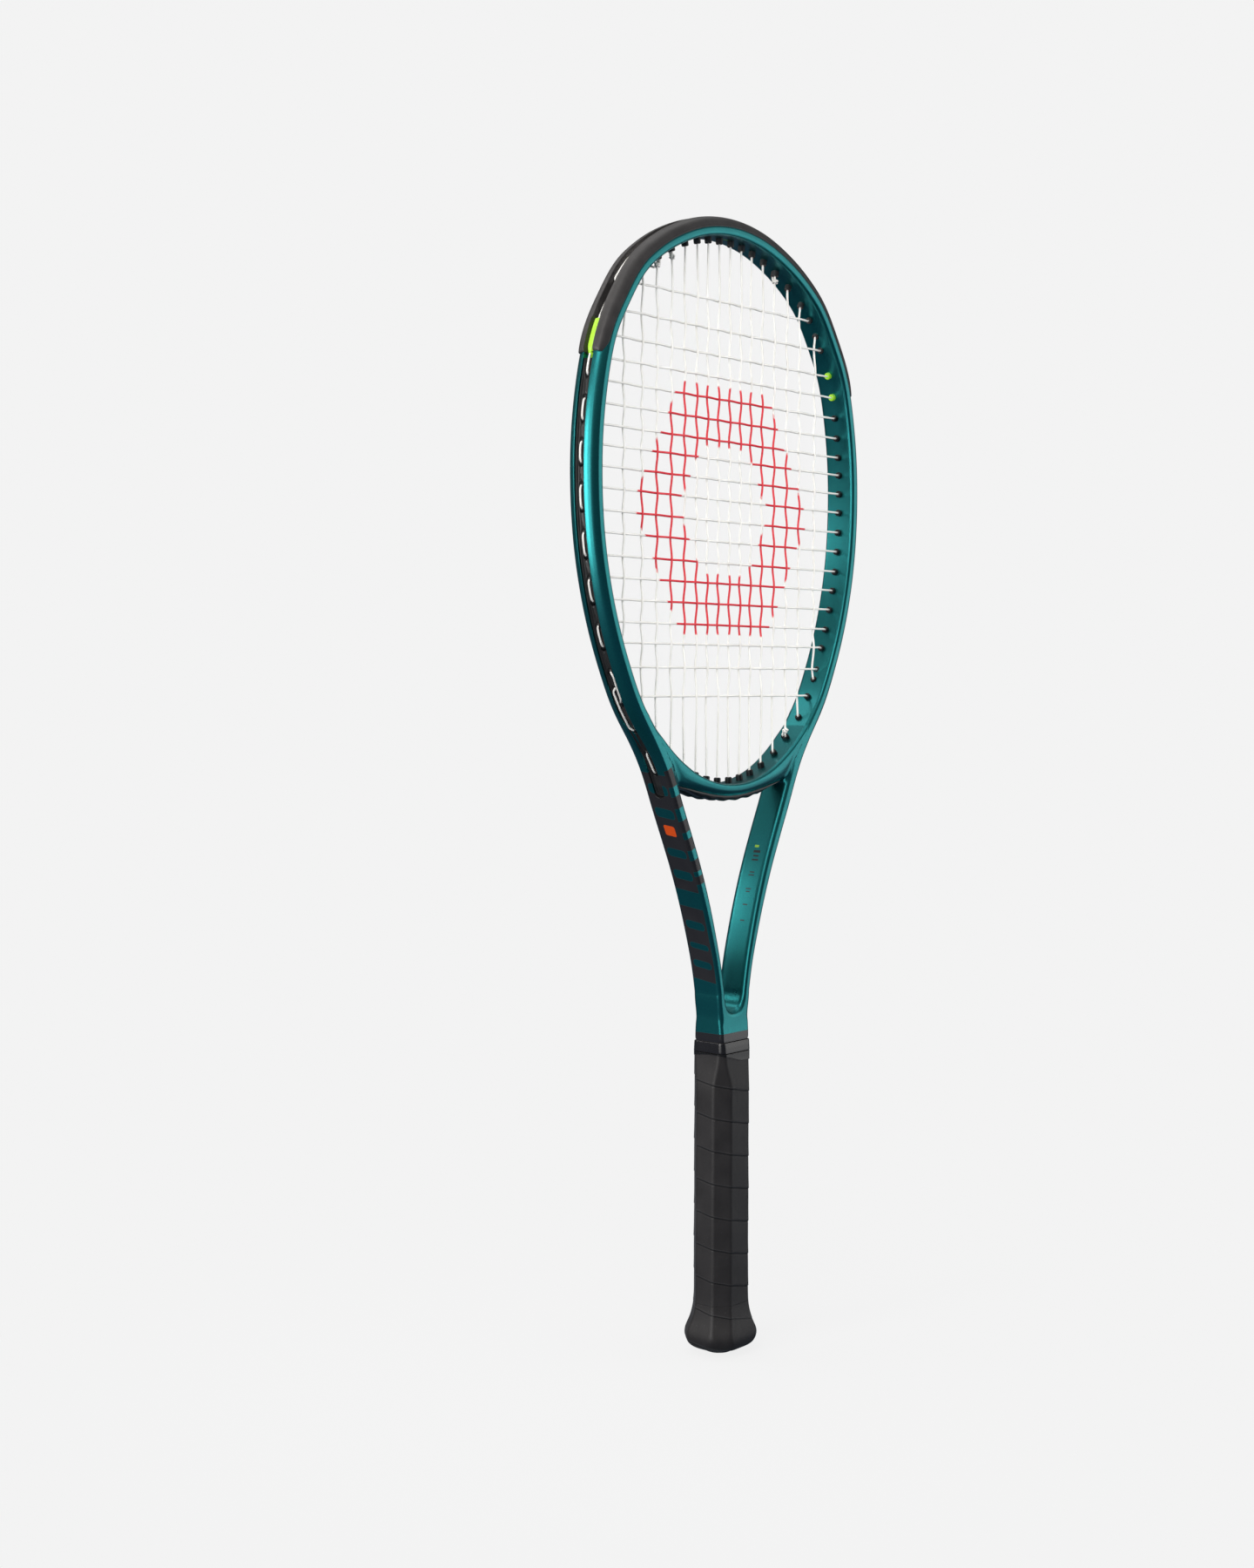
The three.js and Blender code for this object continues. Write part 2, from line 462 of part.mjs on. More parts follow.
let throatStrip;
{
  const rings = [];
  const WAVE = [9.0, 9.7, 9.2, 9.9, 9.4, 9.9, 9.4, 9.9, 9.2, 9.7, 9.0];
  [-44, ...BRIDGE_X, 44].forEach((x, i) => {
    const f = bridgeAt(x), a = BR_FLOOR + GAP, e = Math.abs(x) > 43 ? 1 : 0;
    const c = lerp(WAVE[i], a + STRIP_T + 0.6, e);
    const half = [[a, 5.8], [c, 5.6], [c, 1.9], [a + STRIP_T, 1.7]];
    rings.push([...half, ...half.map(([n, y]) => [n, -y]).reverse()].map(([n, y]) => f.p.clone().addScaledVector(f.n, n).add(V(0, y, 0))));
  });
  throatStrip = solid(loft(rings)).add(unionAll(holes.filter((h) => h.bridge).map(barrelSolid))).subtract(bores);
  throatStrip = throatStrip.subtract(hairpinHalf(GAP)).subtract(mirrored(hairpinHalf(GAP)));
}

// ------------------------------------------------------------ strings
const LIFT = GAP + STRIP_T + 0.42 + STRING_R;                  // string centre above the groove floor
// a run along the groove from the hole at a to the hole at b, in one lane
function run(a, b, lane = 0, endLane = null) {
  const pts = [];
  const el = endLane === null ? 0 : endLane;
  if (a.bridge) {
    const lift = (x, y) => { const f = bridgeAt(x); return f.p.clone().addScaledVector(f.n, BR_FLOOR + LIFT).add(V(0, y, 0)); };
    const xa = bridgeFoot(a.exit), xb = bridgeFoot(b.exit);
    pts.push(lift(xa, 0), lift((xa + xb) / 2, lane), lift(xb, 0));
    return pts;
  }
  const g = (s, y) => put(s, floorAt(s) + LIFT, y);
  const dirS = Math.sign(b.s - a.s), L = Math.abs(b.s - a.s);
  pts.push(g(a.s, 0));
  if (lane) pts.push(g(a.s + dirS * 2.6, lane));
  const n = Math.max(1, Math.round(L / 14));
  for (let i = 1; i < n; i++) pts.push(g(lerp(a.s, b.s, i / n), lane));
  if (el) pts.push(g(b.s, el));
  else { if (lane) pts.push(g(b.s - dirS * 2.6, lane)); pts.push(g(b.s, 0)); }
  return pts;
}
// end of a string: back in through a shared hole, to a knot beside the main
function knot(h) {
  const k = h.tie, pts = [], r = [];
  const o = (t, y) => h.tip.clone().addScaledVector(h.dir, t).add(V(0, y * k, 0));
  for (const [t, y, rr] of [[0.6, LANE + 0.05, 0.65], [-0.9, LANE + 0.35, 0.65], [-1.3, 2.35, 1.15], [-3.0, 2.6, 1.25], [-3.6, 2.6, 0.7], [-6.2, 3.6, 0.6]]) { pts.push(o(t, y)); r.push(rr); }
  return { pts, r };
}
const mt = (i) => hole['mt' + (i < 8 ? 'L' + (8 - i) : 'R' + (i - 7))];     // i = 0..15 from left to right
const mb = (i) => hole['mb' + (i < 8 ? 'L' + (8 - i) : 'R' + (i - 7))];
function thick(list) { return list.map(() => STRING_R); }
let mainString;
{
  const pts = [], rad = [];
  const add = (ps, rs) => { ps.forEach((p, i) => { pts.push(p); rad.push(rs ? rs[i] : STRING_R); }); };
  const kL = knot(mt(3)); add(kL.pts.reverse(), kL.r.reverse());
  add(run(mt(0), mt(3), LANE, LANE).reverse());
  for (let i = 0; i < 16; i++) {
    const up = i % 2 === 1;                                      // first main runs down
    const from = up ? mb(i) : mt(i), to = up ? mt(i) : mb(i);
    add([from.tip.clone(), to.tip.clone()]);
    if (i < 15) {
      const next = up ? mt(i + 1) : mb(i + 1);
      const over = (i === 0) ? LANE : (i === 14 ? -LANE : 0);    // outer lower loops pass a cross hole
      add(run(to, next, over));
    }
  }
  add(run(mt(15), mt(12), LANE, LANE));
  const kR = knot(mt(12)); add(kR.pts, kR.r);
  mainString = bar(pts, rad, 6);
}
const mainAt = [...MAIN_X.map((x) => -x).reverse(), ...MAIN_X];
let crossString;
{
  const pts = [], rad = [];
  const add = (ps, rs) => { ps.forEach((p, i) => { pts.push(p); rad.push(rs ? rs[i] : STRING_R); }); };
  const k0 = knot(mt(2)); add(k0.pts.reverse(), k0.r.reverse());
  add(run(hole.cL1, mt(2), -LANE, -LANE).reverse());
  for (let j = 0; j < 19; j++) {
    const right = j % 2 === 0;                                   // first cross runs to the right
    const from = right ? hole['cL' + (j + 1)] : hole['cR' + (j + 1)], to = right ? hole['cR' + (j + 1)] : hole['cL' + (j + 1)];
    const xs = mainAt.map((x, i) => ({ x, y: ((i + j) % 2 ? 1 : -1) * WEAVE })).filter((m) => m.x > Math.min(from.tip.x, to.tip.x) && m.x < Math.max(from.tip.x, to.tip.x));
    if (!right) xs.reverse();
    const nudge = (h, m) => h.tip.clone().add(V(0, Math.sign(m.y) * 0.08, 0));
    add([nudge(from, xs[0]), ...xs.map((m) => V(m.x, m.y, CROSS_Z[j])), nudge(to, xs[xs.length - 1])]);
    if (j < 18) {
      const next = right ? hole['cR' + (j + 2)] : hole['cL' + (j + 2)];
      const over = (j === 0 || j === 17) ? -LANE : 0;            // passes the hole of an outer main
      add(run(to, next, over));
    }
  }
  add(run(hole.cR19, mb(13), LANE, LANE));
  const k1 = knot(mb(13)); add(k1.pts, k1.r);
  crossString = bar(pts, rad, 5);
}

// ------------------------------------------------------------ handle
// octagon: half width x, half depth y, bevel
const octagon = (x, y, b) => [[x, y - b], [x - b, y], [-x + b, y], [-x, y - b], [-x, -y + b], [-x + b, -y], [x - b, -y], [x, -y + b]];
const octLoft = (rows) => loft(rows.map(([z, x, y, b]) => octagon(x, y, b).map(([px, py]) => V(px, py, z))));
const PX = GRIP_X - GRIP_T, PY = GRIP_Y - GRIP_T;
// the grip tapers to the collar over its last few turns: half width, half depth, bevel
const gripAt = (z) => { const f = smooth((z - 166) / 17); return [lerp(GRIP_X, 15.3, f), lerp(GRIP_Y, 12.4, f), lerp(GRIP_BEVEL, 5.0, f)]; };
const onGrip = (z, grow, bevel = 0.4) => { const [x, y, b] = gripAt(z); return [z, x + grow, y + grow, b + grow * bevel]; };
const PAL = (z) => onGrip(z, -GRIP_T - GAP);
let pallet = solid(octLoft([PAL(9), PAL(166), PAL(171), PAL(175), PAL(179), PAL(182.4)]));
{
  const seat = (z0, z1, x, y) => solid(loft([z0, z1].map((z) => [[x, y - 2], [x - 2, y], [-x + 2, y], [-x, y - 2], [-x, -y + 2], [-x + 2, -y], [x - 2, -y], [x, -y + 2]].map(([a, b]) => V(a, b, z)))));
  pallet = pallet.subtract(seat(4, 190, INSERT_X + GAP, INSERT_Y + GAP));
}
// butt cap: a cup that slips over the end of the pallet, with the flared heel
let butt = solid(octLoft([[0, 18.2, 14.9, 7.4], [1.2, 20.0, 16.7, 8.2], [4, 21.0, 17.6, 8.6], [9, 21.2, 17.8, 8.7], [14, 20.0, 17.0, 8.3], [20, 17.6, 15.2, 7.7], [BUTT_Z, 16.3, 14.2, 7.5], [31, PX + 0.9, PY + 0.9, 7.4]]));
butt = butt.subtract(solid(octLoft([[8.6, PX, PY, 7.3], [40, PX, PY, 7.3]])));
// recess of the badge in the butt end
const oval = (rx, ry, z0, z1, n = 20) => {
  const shape = new THREE.Shape(Array.from({ length: n }, (_, i) => new THREE.Vector2(rx * Math.cos(i / n * 2 * Math.PI), ry * Math.sin(i / n * 2 * Math.PI))));
  return solid(new THREE.ExtrudeGeometry(shape, { depth: z1 - z0, bevelEnabled: false }).translate(0, 0, z0));
};
butt = butt.subtract(oval(12.4, 9.4, -1, 1.1));
const badge = oval(12.1, 9.1, 0.35, 0.8).add(oval(11.2, 8.2, 0.2, 0.6));
// staples that hold the cap on the pallet, driven through the front and the back wall
const STAPLES = [['butt_staple_front', 0, -1], ['butt_staple_back', 0, 1]];
const stapleSolid = (k, grow = 0) => {
  const w = 5.2, z = 17.5, y0 = 15.95, y1 = 10.6, r = 0.55 + grow;
  const leg = (x) => solid(new THREE.BoxGeometry(2 * r, y0 - y1 + 2 * grow, 2 * r).translate(x, k * (y0 + y1) / 2, z));
  return solid(new THREE.BoxGeometry(2 * w + 2 * r, 2 * r + (grow ? 4 : 0), 2 * r).translate(0, k * (y0 + (grow ? 2 : 0)), z)).add(leg(-w)).add(leg(w));
};
for (const [, , k] of STAPLES) { butt = butt.subtract(stapleSolid(k, 0.3)); pallet = pallet.subtract(stapleSolid(k, 0.3)); }
// grip tape: a helical wrap on the octagon, one closed strip that overlaps edge to edge
const GRIP_Z0 = 32.2;
function perimeterPoint(u, x, y, b) {
  // u in [0, 1) once round the octagon, counted by corner so that corners line up
  const o = octagon(x, y, b);
  const seg = Math.floor(u * 8) % 8, f = u * 8 - Math.floor(u * 8);
  const p = o[seg], q = o[(seg + 1) % 8];
  return [lerp(p[0], q[0], f), lerp(p[1], q[1], f)];
}
let grip;
{
  const rings = [];
  const per = 8, zTop = GRIP_TOP - 0.5, turns = Math.ceil((zTop - GRIP_Z0) / GRIP_PITCH) + 1;
  for (let i = 0; i <= turns * per; i++) {
    const u = i / per;                                        // turns so far
    const zc = GRIP_Z0 - GRIP_PITCH / 2 + u * GRIP_PITCH;      // middle of the strip
    const a = zc - GRIP_PITCH / 2 + 0.2, b = zc + GRIP_PITCH / 2 - 0.2;
    const w = (u % 1 + 1) % 1;
    const P = (z, grow) => { const [, x, y, bv] = onGrip(z, grow); const [px, py] = perimeterPoint((1 - w) % 1, x, y, bv); return V(px, py, z); };
    const m = (a + b) / 2;
    rings.push([P(a, -GRIP_T + 0.02), P(a, -0.75), P(a + 1.3, 0), P(m, 0), P(b - 0.4, 0), P(b, -0.75), P(b, -GRIP_T + 0.02), P(m, -GRIP_T + 0.02)]);
  }
  grip = solid(loft(rings));
  const trim = (z0, z1) => solid(new THREE.BoxGeometry(60, 60, z1 - z0).translate(0, 0, (z0 + z1) / 2));
  grip = grip.intersect(trim(GRIP_Z0 - 0.4, zTop));
  grip = grip.decompose().sort((a, b) => b.volume() - a.volume())[0];
}
// overlap of the grip on the cap: a tapered start wrap at the heel
let heelWrap = solid(octLoft([[4.2, 21.5, 18.1, 8.8], [9, 21.75, 18.35, 8.9], [14, 20.6, 17.6, 8.6], [20, 18.5, 16.0, 8.1], [BUTT_Z, 17.2, 15.0, 8.0], [31.4, GRIP_X, GRIP_Y, GRIP_BEVEL]]));
heelWrap = heelWrap.subtract(solid(octLoft([[3, 21.05, 17.65, 8.62], [4.2, 21.25, 17.86, 8.66], [9, 21.5, 18.1, 8.76], [14, 20.3, 17.3, 8.4], [20, 17.9, 15.5, 7.85], [BUTT_Z, 16.6, 14.5, 7.65], [31, PX + 1.2, PY + 1.2, 7.5], [33, PX + 1.2, PY + 1.2, 7.5]])));
for (const [, , k] of STAPLES) heelWrap = heelWrap.subtract(stapleSolid(k, 0.3));
// finishing tape round the top of the grip, and the rubber collar over it
const TAPE_Z = [177.6, 179.2, 181, 182.6];
let tape = solid(octLoft(TAPE_Z.map((z) => onGrip(z, 0.55, 0.4))));
tape = tape.subtract(solid(octLoft([onGrip(176.8, 0.3, 0.4), ...TAPE_Z.slice(1, 3).map((z) => onGrip(z, 0.3, 0.4)), onGrip(183.4, 0.3, 0.4)])));
let collar = solid(octLoft([[183.1, 15.15, 12.1, 4.4], [184.6, 15.1, 11.95, 4.1], [188.0, 14.85, 11.6, 3.6], [190.6, 14.8, 11.55, 3.4], [191.3, 14.5, 11.3, 3.2]]));
collar = collar.subtract(solid(octLoft([[182, 14.5, 11.3, 3.1], [184.6, 14.4, 11.2, 3.0], [192, 14.35, 11.1, 2.9]])));
tape = tape.decompose().sort((a, b) => b.volume() - a.volume())[0];

// ------------------------------------------------------------ the assembly
const COLOR = {
  paint: [0x1f7f86, 0.28, 0.75], guard: [0x3c3a3d, 0.62, 0.0], grommet: [0x151417, 0.45, 0.0], lime: [0xb6ee3a, 0.4, 0.0],
  string: [0xe9e9e2, 0.35, 0.0], foam: [0xb9a98a, 0.9, 0.0], cap: [0x1b1b1d, 0.5, 0.0], badge: [0x2a2c2f, 0.35, 0.0],
  steel: [0xa9abad, 0.35, 1.0], grip: [0x232225, 0.75, 0.0], tape: [0x111112, 0.3, 0.0], rubber: [0x141416, 0.32, 0.0],
};
const racket = new THREE.Group();
racket.name = 'tennis_racket';
const groups = {};
function place(groupName, name, geometry, key) {
  if (!groups[groupName]) { groups[groupName] = new THREE.Group(); groups[groupName].name = groupName; racket.add(groups[groupName]); }
  const [color, roughness, metalness] = COLOR[key];
  const mesh = new THREE.Mesh(geometry, new THREE.MeshStandardMaterial({ color, roughness, metalness }));
  mesh.name = name;
  groups[groupName].add(mesh);
}
place('frame', 'frame_hairpin', geometryOf(hairpin), 'paint');
place('frame', 'throat_bridge', geometryOf(bridge), 'paint');
place('grommets', 'bumper_guard', geometryOf(bumper), 'guard');
place('grommets', 'side_grommet_strip_left', geometryOf(strips.left), 'grommet');
place('grommets', 'side_grommet_strip_right', geometryOf(strips.right), 'grommet');
place('grommets', 'accent_grommet_left', geometryOf(strips.lime_left), 'lime');
place('grommets', 'accent_grommet_right', geometryOf(strips.lime_right), 'lime');
place('grommets', 'throat_grommet_strip', geometryOf(throatStrip), 'grommet');
place('strings', 'main_string', geometryOf(solid(mainString)), 'string');
place('strings', 'cross_string', geometryOf(solid(crossString)), 'string');
place('handle', 'handle_pallet', geometryOf(pallet), 'foam');
place('handle', 'butt_cap', geometryOf(butt), 'cap');
place('handle', 'butt_badge', geometryOf(badge), 'badge');
for (const [name, , k] of STAPLES) place('handle', name, geometryOf(stapleSolid(k)), 'steel');
place('handle', 'heel_wrap', geometryOf(heelWrap), 'grip');
place('handle', 'grip_tape', geometryOf(grip), 'grip');
place('handle', 'finishing_tape', geometryOf(tape), 'tape');
place('handle', 'grip_collar', geometryOf(collar), 'rubber');

export default racket;
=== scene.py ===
import json
import math

import bpy
import numpy as np
from mathutils import Matrix, Vector
from mathutils.bvhtree import BVHTree

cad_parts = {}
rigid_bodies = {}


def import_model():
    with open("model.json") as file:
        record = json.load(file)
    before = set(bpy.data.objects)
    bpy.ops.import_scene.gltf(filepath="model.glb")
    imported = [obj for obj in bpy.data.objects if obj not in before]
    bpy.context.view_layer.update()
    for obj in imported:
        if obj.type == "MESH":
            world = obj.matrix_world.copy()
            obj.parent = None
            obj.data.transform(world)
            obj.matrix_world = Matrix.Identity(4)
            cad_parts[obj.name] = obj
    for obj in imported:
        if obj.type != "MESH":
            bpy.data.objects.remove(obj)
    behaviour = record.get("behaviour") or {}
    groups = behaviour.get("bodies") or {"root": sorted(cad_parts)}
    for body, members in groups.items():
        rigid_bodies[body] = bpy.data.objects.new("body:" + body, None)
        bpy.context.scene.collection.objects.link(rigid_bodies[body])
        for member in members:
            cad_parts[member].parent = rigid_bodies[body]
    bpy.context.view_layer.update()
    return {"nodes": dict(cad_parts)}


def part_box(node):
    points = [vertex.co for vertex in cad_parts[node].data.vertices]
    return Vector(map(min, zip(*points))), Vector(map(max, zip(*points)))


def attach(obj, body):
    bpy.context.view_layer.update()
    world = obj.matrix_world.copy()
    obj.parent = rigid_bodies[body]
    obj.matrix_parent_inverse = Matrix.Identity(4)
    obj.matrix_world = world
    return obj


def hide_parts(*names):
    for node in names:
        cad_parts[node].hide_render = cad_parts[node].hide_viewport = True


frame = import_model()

# The racket's looks, in the row frame: +Z butt to tip, X across the head, Y square to the strings.
# Lengths in this script are millimetres until a mesh is made.
MM = 0.001
PI = math.pi


def cad(node):
    lo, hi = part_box(node)
    return np.array(lo) / MM, np.array(hi) / MM


# ------------------------------------------------------------------ the frame's own numbers
H = cad("frame_hairpin")[1][1]                 # half thickness of the beam, from the CAD node
H = min(H, 10.3)
TIP = cad("bumper_guard")[1][2]                # crown of the bumper
HOOP_DEPTH, GROOVE_HALF, GROOVE_DEPTH = 9.9, 3.5, 3.7
GAP, STRIP_T, STRING_R = 0.3, 1.1, 0.65
PITCH = 20.0                                   # rise of the grip tape in one turn
MAIN_X = [5.45, 16.01, 26.37, 37.65, 50.0, 63.13, 76.53, 92.73]
CROSS_Z = [635.81, 618.75, 603.51, 590.53, 577.68, 565.11, 553.03, 541.77, 529.8, 517.85,
           505.15, 492.8, 479.96, 467.71, 455.35, 442.7, 430.91, 417.03, 400.17]
INNER = [[0, 673], [28, 669.6], [54.2, 660], [70.6, 650.6], [84, 640], [98.4, 620.4], [109.8, 600],
         [119, 560], [121.1, 520], [117.2, 480], [106.4, 440], [87.9, 400], [80.2, 389.3], [72.5, 380],
         [66, 371.3], [59.6, 361], [53.8, 348.8], [49.2, 338], [40, 318], [30.9, 297], [23.1, 275.5],
         [16.6, 254], [12.2, 236.8], [9.4, 222]]
OVAL = [[106.4, 440], [87.9, 400], [80.4, 389.6], [74.2, 382.6], [68.4, 376.7], [62, 371.1], [54.5, 365.5],
        [45.9, 360.0], [35, 354.4], [24, 350.6], [12, 348.0], [0, 347.2]]


# ------------------------------------------------------------------ small numeric helpers
def smooth(t):
    t = np.clip(t, 0, 1)
    return t * t * (3 - 2 * t)


def lerp(a, b, t):
    return a + (b - a) * t


def unit(v):
    return v / np.maximum(np.linalg.norm(v, axis=-1, keepdims=True), 1e-12)


def centripetal(P, per=60):
    """Centripetal Catmull-Rom through the points P (n, d)."""
    P = np.asarray(P, float)
    out = []
    n = len(P)
    for i in range(n - 1):
        p1, p2 = P[i], P[i + 1]
        p0 = P[i - 1] if i else 2 * p1 - p2
        p3 = P[i + 2] if i + 2 < n else 2 * p2 - p1
        d0, d1, d2 = (max(np.linalg.norm(b - a), 1e-6) ** 0.5 for a, b in ((p0, p1), (p1, p2), (p2, p3)))
        t1 = ((p1 - p0) / d0 - (p2 - p0) / (d0 + d1) + (p2 - p1) / d1) * d1
        t2 = ((p2 - p1) / d1 - (p3 - p1) / (d1 + d2) + (p3 - p2) / d2) * d1
        q = np.linspace(0, 1, per, endpoint=False)[:, None]
        out.append(p1 + t1 * q + (-3 * p1 + 3 * p2 - 2 * t1 - t2) * q ** 2 + (2 * p1 - 2 * p2 + t1 + t2) * q ** 3)
    out.append(P[-1:])
    return np.concatenate(out)


def resample(P, step):
    seg = np.linalg.norm(np.diff(P, axis=0), axis=1)
    keep = np.r_[True, seg > 1e-9]
    P = P[keep]
    s = np.r_[0, np.cumsum(np.linalg.norm(np.diff(P, axis=0), axis=1))]
    n = max(2, int(round(s[-1] / step)) + 1)
    q = np.linspace(0, s[-1], n)
    return np.stack([np.interp(q, s, P[:, k]) for k in range(P.shape[1])], 1)


def blur(P, sigma, step):
    """Gaussian blur along a polyline, second order so that it doesn't shrink the curve."""
    k = int(4 * sigma / step)
    w = np.exp(-0.5 * (np.arange(-k, k + 1) * step / sigma) ** 2)
    w /= w.sum()

    def once(Q):
        a = 2 * Q[0] - Q[k:0:-1]
        b = 2 * Q[-1] - Q[-2:-k - 2:-1]
        E = np.concatenate([a, Q, b])
        return np.stack([np.convolve(E[:, j], w, "valid") for j in range(Q.shape[1])], 1)

    g = once(P)
    return 2 * g - once(g)


class Line:
    """A smooth plane curve x, z by length, with the normal that points out of the oval."""

    def __init__(self, pts, step=0.5, sigma=6.0, middle=None):
        P = resample(centripetal(pts), step)
        P = blur(P, sigma, step)
        s = np.r_[0, np.cumsum(np.linalg.norm(np.diff(P, axis=0), axis=1))]
        if middle is None:
            middle = np.interp(0.0, P[:, 0], s)
        self.P, self.s = P, s - middle
        t = unit(np.gradient(P, axis=0))
        self.N = np.stack([-t[:, 1], t[:, 0]], 1)

    def at(self, s):
        s = np.asarray(s, float)
        p = np.stack([np.interp(s, self.s, self.P[:, k]) for k in (0, 1)], -1)
        n = unit(np.stack([np.interp(s, self.s, self.N[:, k]) for k in (0, 1)], -1))
        return p, n

    def near(self, q):
        """(length, distance outwards) of the point q = (x, z)."""
        k = np.argmin(((self.P - q) ** 2).sum(1))
        return self.s[k], float((q - self.P[k]) @ self.N[k])


inner = Line([[-x, z] for x, z in INNER[:0:-1]] + INNER)
S_END = inner.s[-1]
oval_line = Line([[-x, z] for x, z in OVAL] + [[x, z] for x, z in OVAL[-2::-1]], sigma=5.0)
# along the oval line x grows with s, so its normal must be turned to point down
oval_line.N = -oval_line.N


def s_at_z(z, above=60):
    """Length along the right side where the inner face comes down to height z."""
    m = inner.s > above
    return float(np.interp(-z, -inner.P[m][:, 1], inner.s[m]))


S_ARM0, S_ARM1 = s_at_z(402), s_at_z(352)
S_STRIP1 = s_at_z(343.5)


def arm_mix(s):
    return smooth((np.abs(s) - S_ARM0) / (S_ARM1 - S_ARM0))


_ds = np.linspace(0, S_END, 600)
_z = inner.at(_ds)[0][:, 1]
_arm = np.interp(_z, [222, 237, 254, 275.5, 297, 318, 348, 372, 402, 420], [6.1, 6.1, 6.5, 7.0, 7.5, 7.9, 8.2, 8.6, 9.4, 9.6])
_dep = lerp(HOOP_DEPTH, _arm, arm_mix(_ds))
_dep = blur(_dep[:, None], 8.0, _ds[1])[:, 0]


def depth(s):
    return np.interp(np.abs(s), _ds, _dep)


def floor_at(s):
    return depth(s) - GROOVE_DEPTH


def put(s, n, y):
    """Point at length s, n outwards from the inner face, and y."""
    p, nn = inner.at(s)
    n = np.asarray(n, float)
    x = p[..., 0] + nn[..., 0] * n
    z = p[..., 1] + nn[..., 1] * n
    return np.stack(np.broadcast_arrays(x, y, z), -1)


def s_at_outer_z(z):
    """Length along the right side where the outer crown of the beam comes down to height z."""
    q = np.linspace(60, 260, 801)
    return float(np.interp(-z, -put(q, 10.5, 0.0)[:, 2], q))


S_LIME0, S_LIME1, S_PRONG = s_at_outer_z(612.6), s_at_outer_z(589.5), s_at_outer_z(592.2)


# ------------------------------------------------------------------ mesh helpers
def make_mesh(name, co, quads=(), tris=(), uv=None, hard=None, custom=True, mats=(), mat_index=None):
    """A mesh object from millimetre points. uv is per vertex. Normals are weighted by area, so flats stay flat."""
    co = np.asarray(co, float)
    quads = np.asarray(quads, int).reshape(-1, 4)
    tris = np.asarray(tris, int).reshape(-1, 3)
    me = bpy.data.meshes.new(name)
    me.vertices.add(len(co))
    me.vertices.foreach_set("co", (co * MM).astype(np.float32).ravel())
    loops = np.concatenate([quads.ravel(), tris.ravel()]).astype(np.int32)
    total = np.concatenate([np.full(len(quads), 4), np.full(len(tris), 3)]).astype(np.int32)
    start = np.r_[0, np.cumsum(total)[:-1]].astype(np.int32)
    me.loops.add(len(loops))
    me.loops.foreach_set("vertex_index", loops)
    me.polygons.add(len(total))
    me.polygons.foreach_set("loop_start", start)
    me.polygons.foreach_set("loop_total", total)
    me.polygons.foreach_set("use_smooth", np.ones(len(total), bool))
    if mat_index is not None:
        me.polygons.foreach_set("material_index", np.asarray(mat_index, np.int32))
    me.update(calc_edges=True)
    if uv is not None:
        layer = me.uv_layers.new(name="Lay")
        layer.data.foreach_set("uv", np.asarray(uv, np.float32)[loops].ravel())
    for m in mats:
        me.materials.append(m)
    if custom:
        N = np.zeros((len(co), 3))
        if len(quads):
            fn = np.cross(co[quads[:, 2]] - co[quads[:, 0]], co[quads[:, 3]] - co[quads[:, 1]])
            for k in range(4):
                for j in range(3):
                    N[:, j] += np.bincount(quads[:, k], fn[:, j], len(co))
        if len(tris):
            fn = np.cross(co[tris[:, 1]] - co[tris[:, 0]], co[tris[:, 2]] - co[tris[:, 0]])
            for k in range(3):
                for j in range(3):
                    N[:, j] += np.bincount(tris[:, k], fn[:, j], len(co))
        me.normals_split_custom_set_from_vertices(unit(N).astype(np.float32).tolist())
    o = bpy.data.objects.new(name, me)
    bpy.context.scene.collection.objects.link(o)
    return o


def grid_quads(rows, cols, wrap_cols=True, wrap_rows=False, base=0):
    r = np.arange(rows if wrap_rows else rows - 1)
    c = np.arange(cols if wrap_cols else cols - 1)
    R, C = np.meshgrid(r, c, indexing="ij")
    R2, C2 = (R + 1) % rows, (C + 1) % cols
    return (base + np.stack([R * cols + C, R * cols + C2, R2 * cols + C2, R2 * cols + C], -1)).reshape(-1, 4)


def volume(co, quads, tris=()):
    t = np.asarray(tris, int).reshape(-1, 3)
    q = np.asarray(quads, int).reshape(-1, 4)
    t = np.concatenate([t, q[:, :3], q[:, [0, 2, 3]]])
    a, b, c = co[t[:, 0]], co[t[:, 1]], co[t[:, 2]]
    return float(np.einsum("ij,ij->i", a, np.cross(b, c)).sum() / 6)


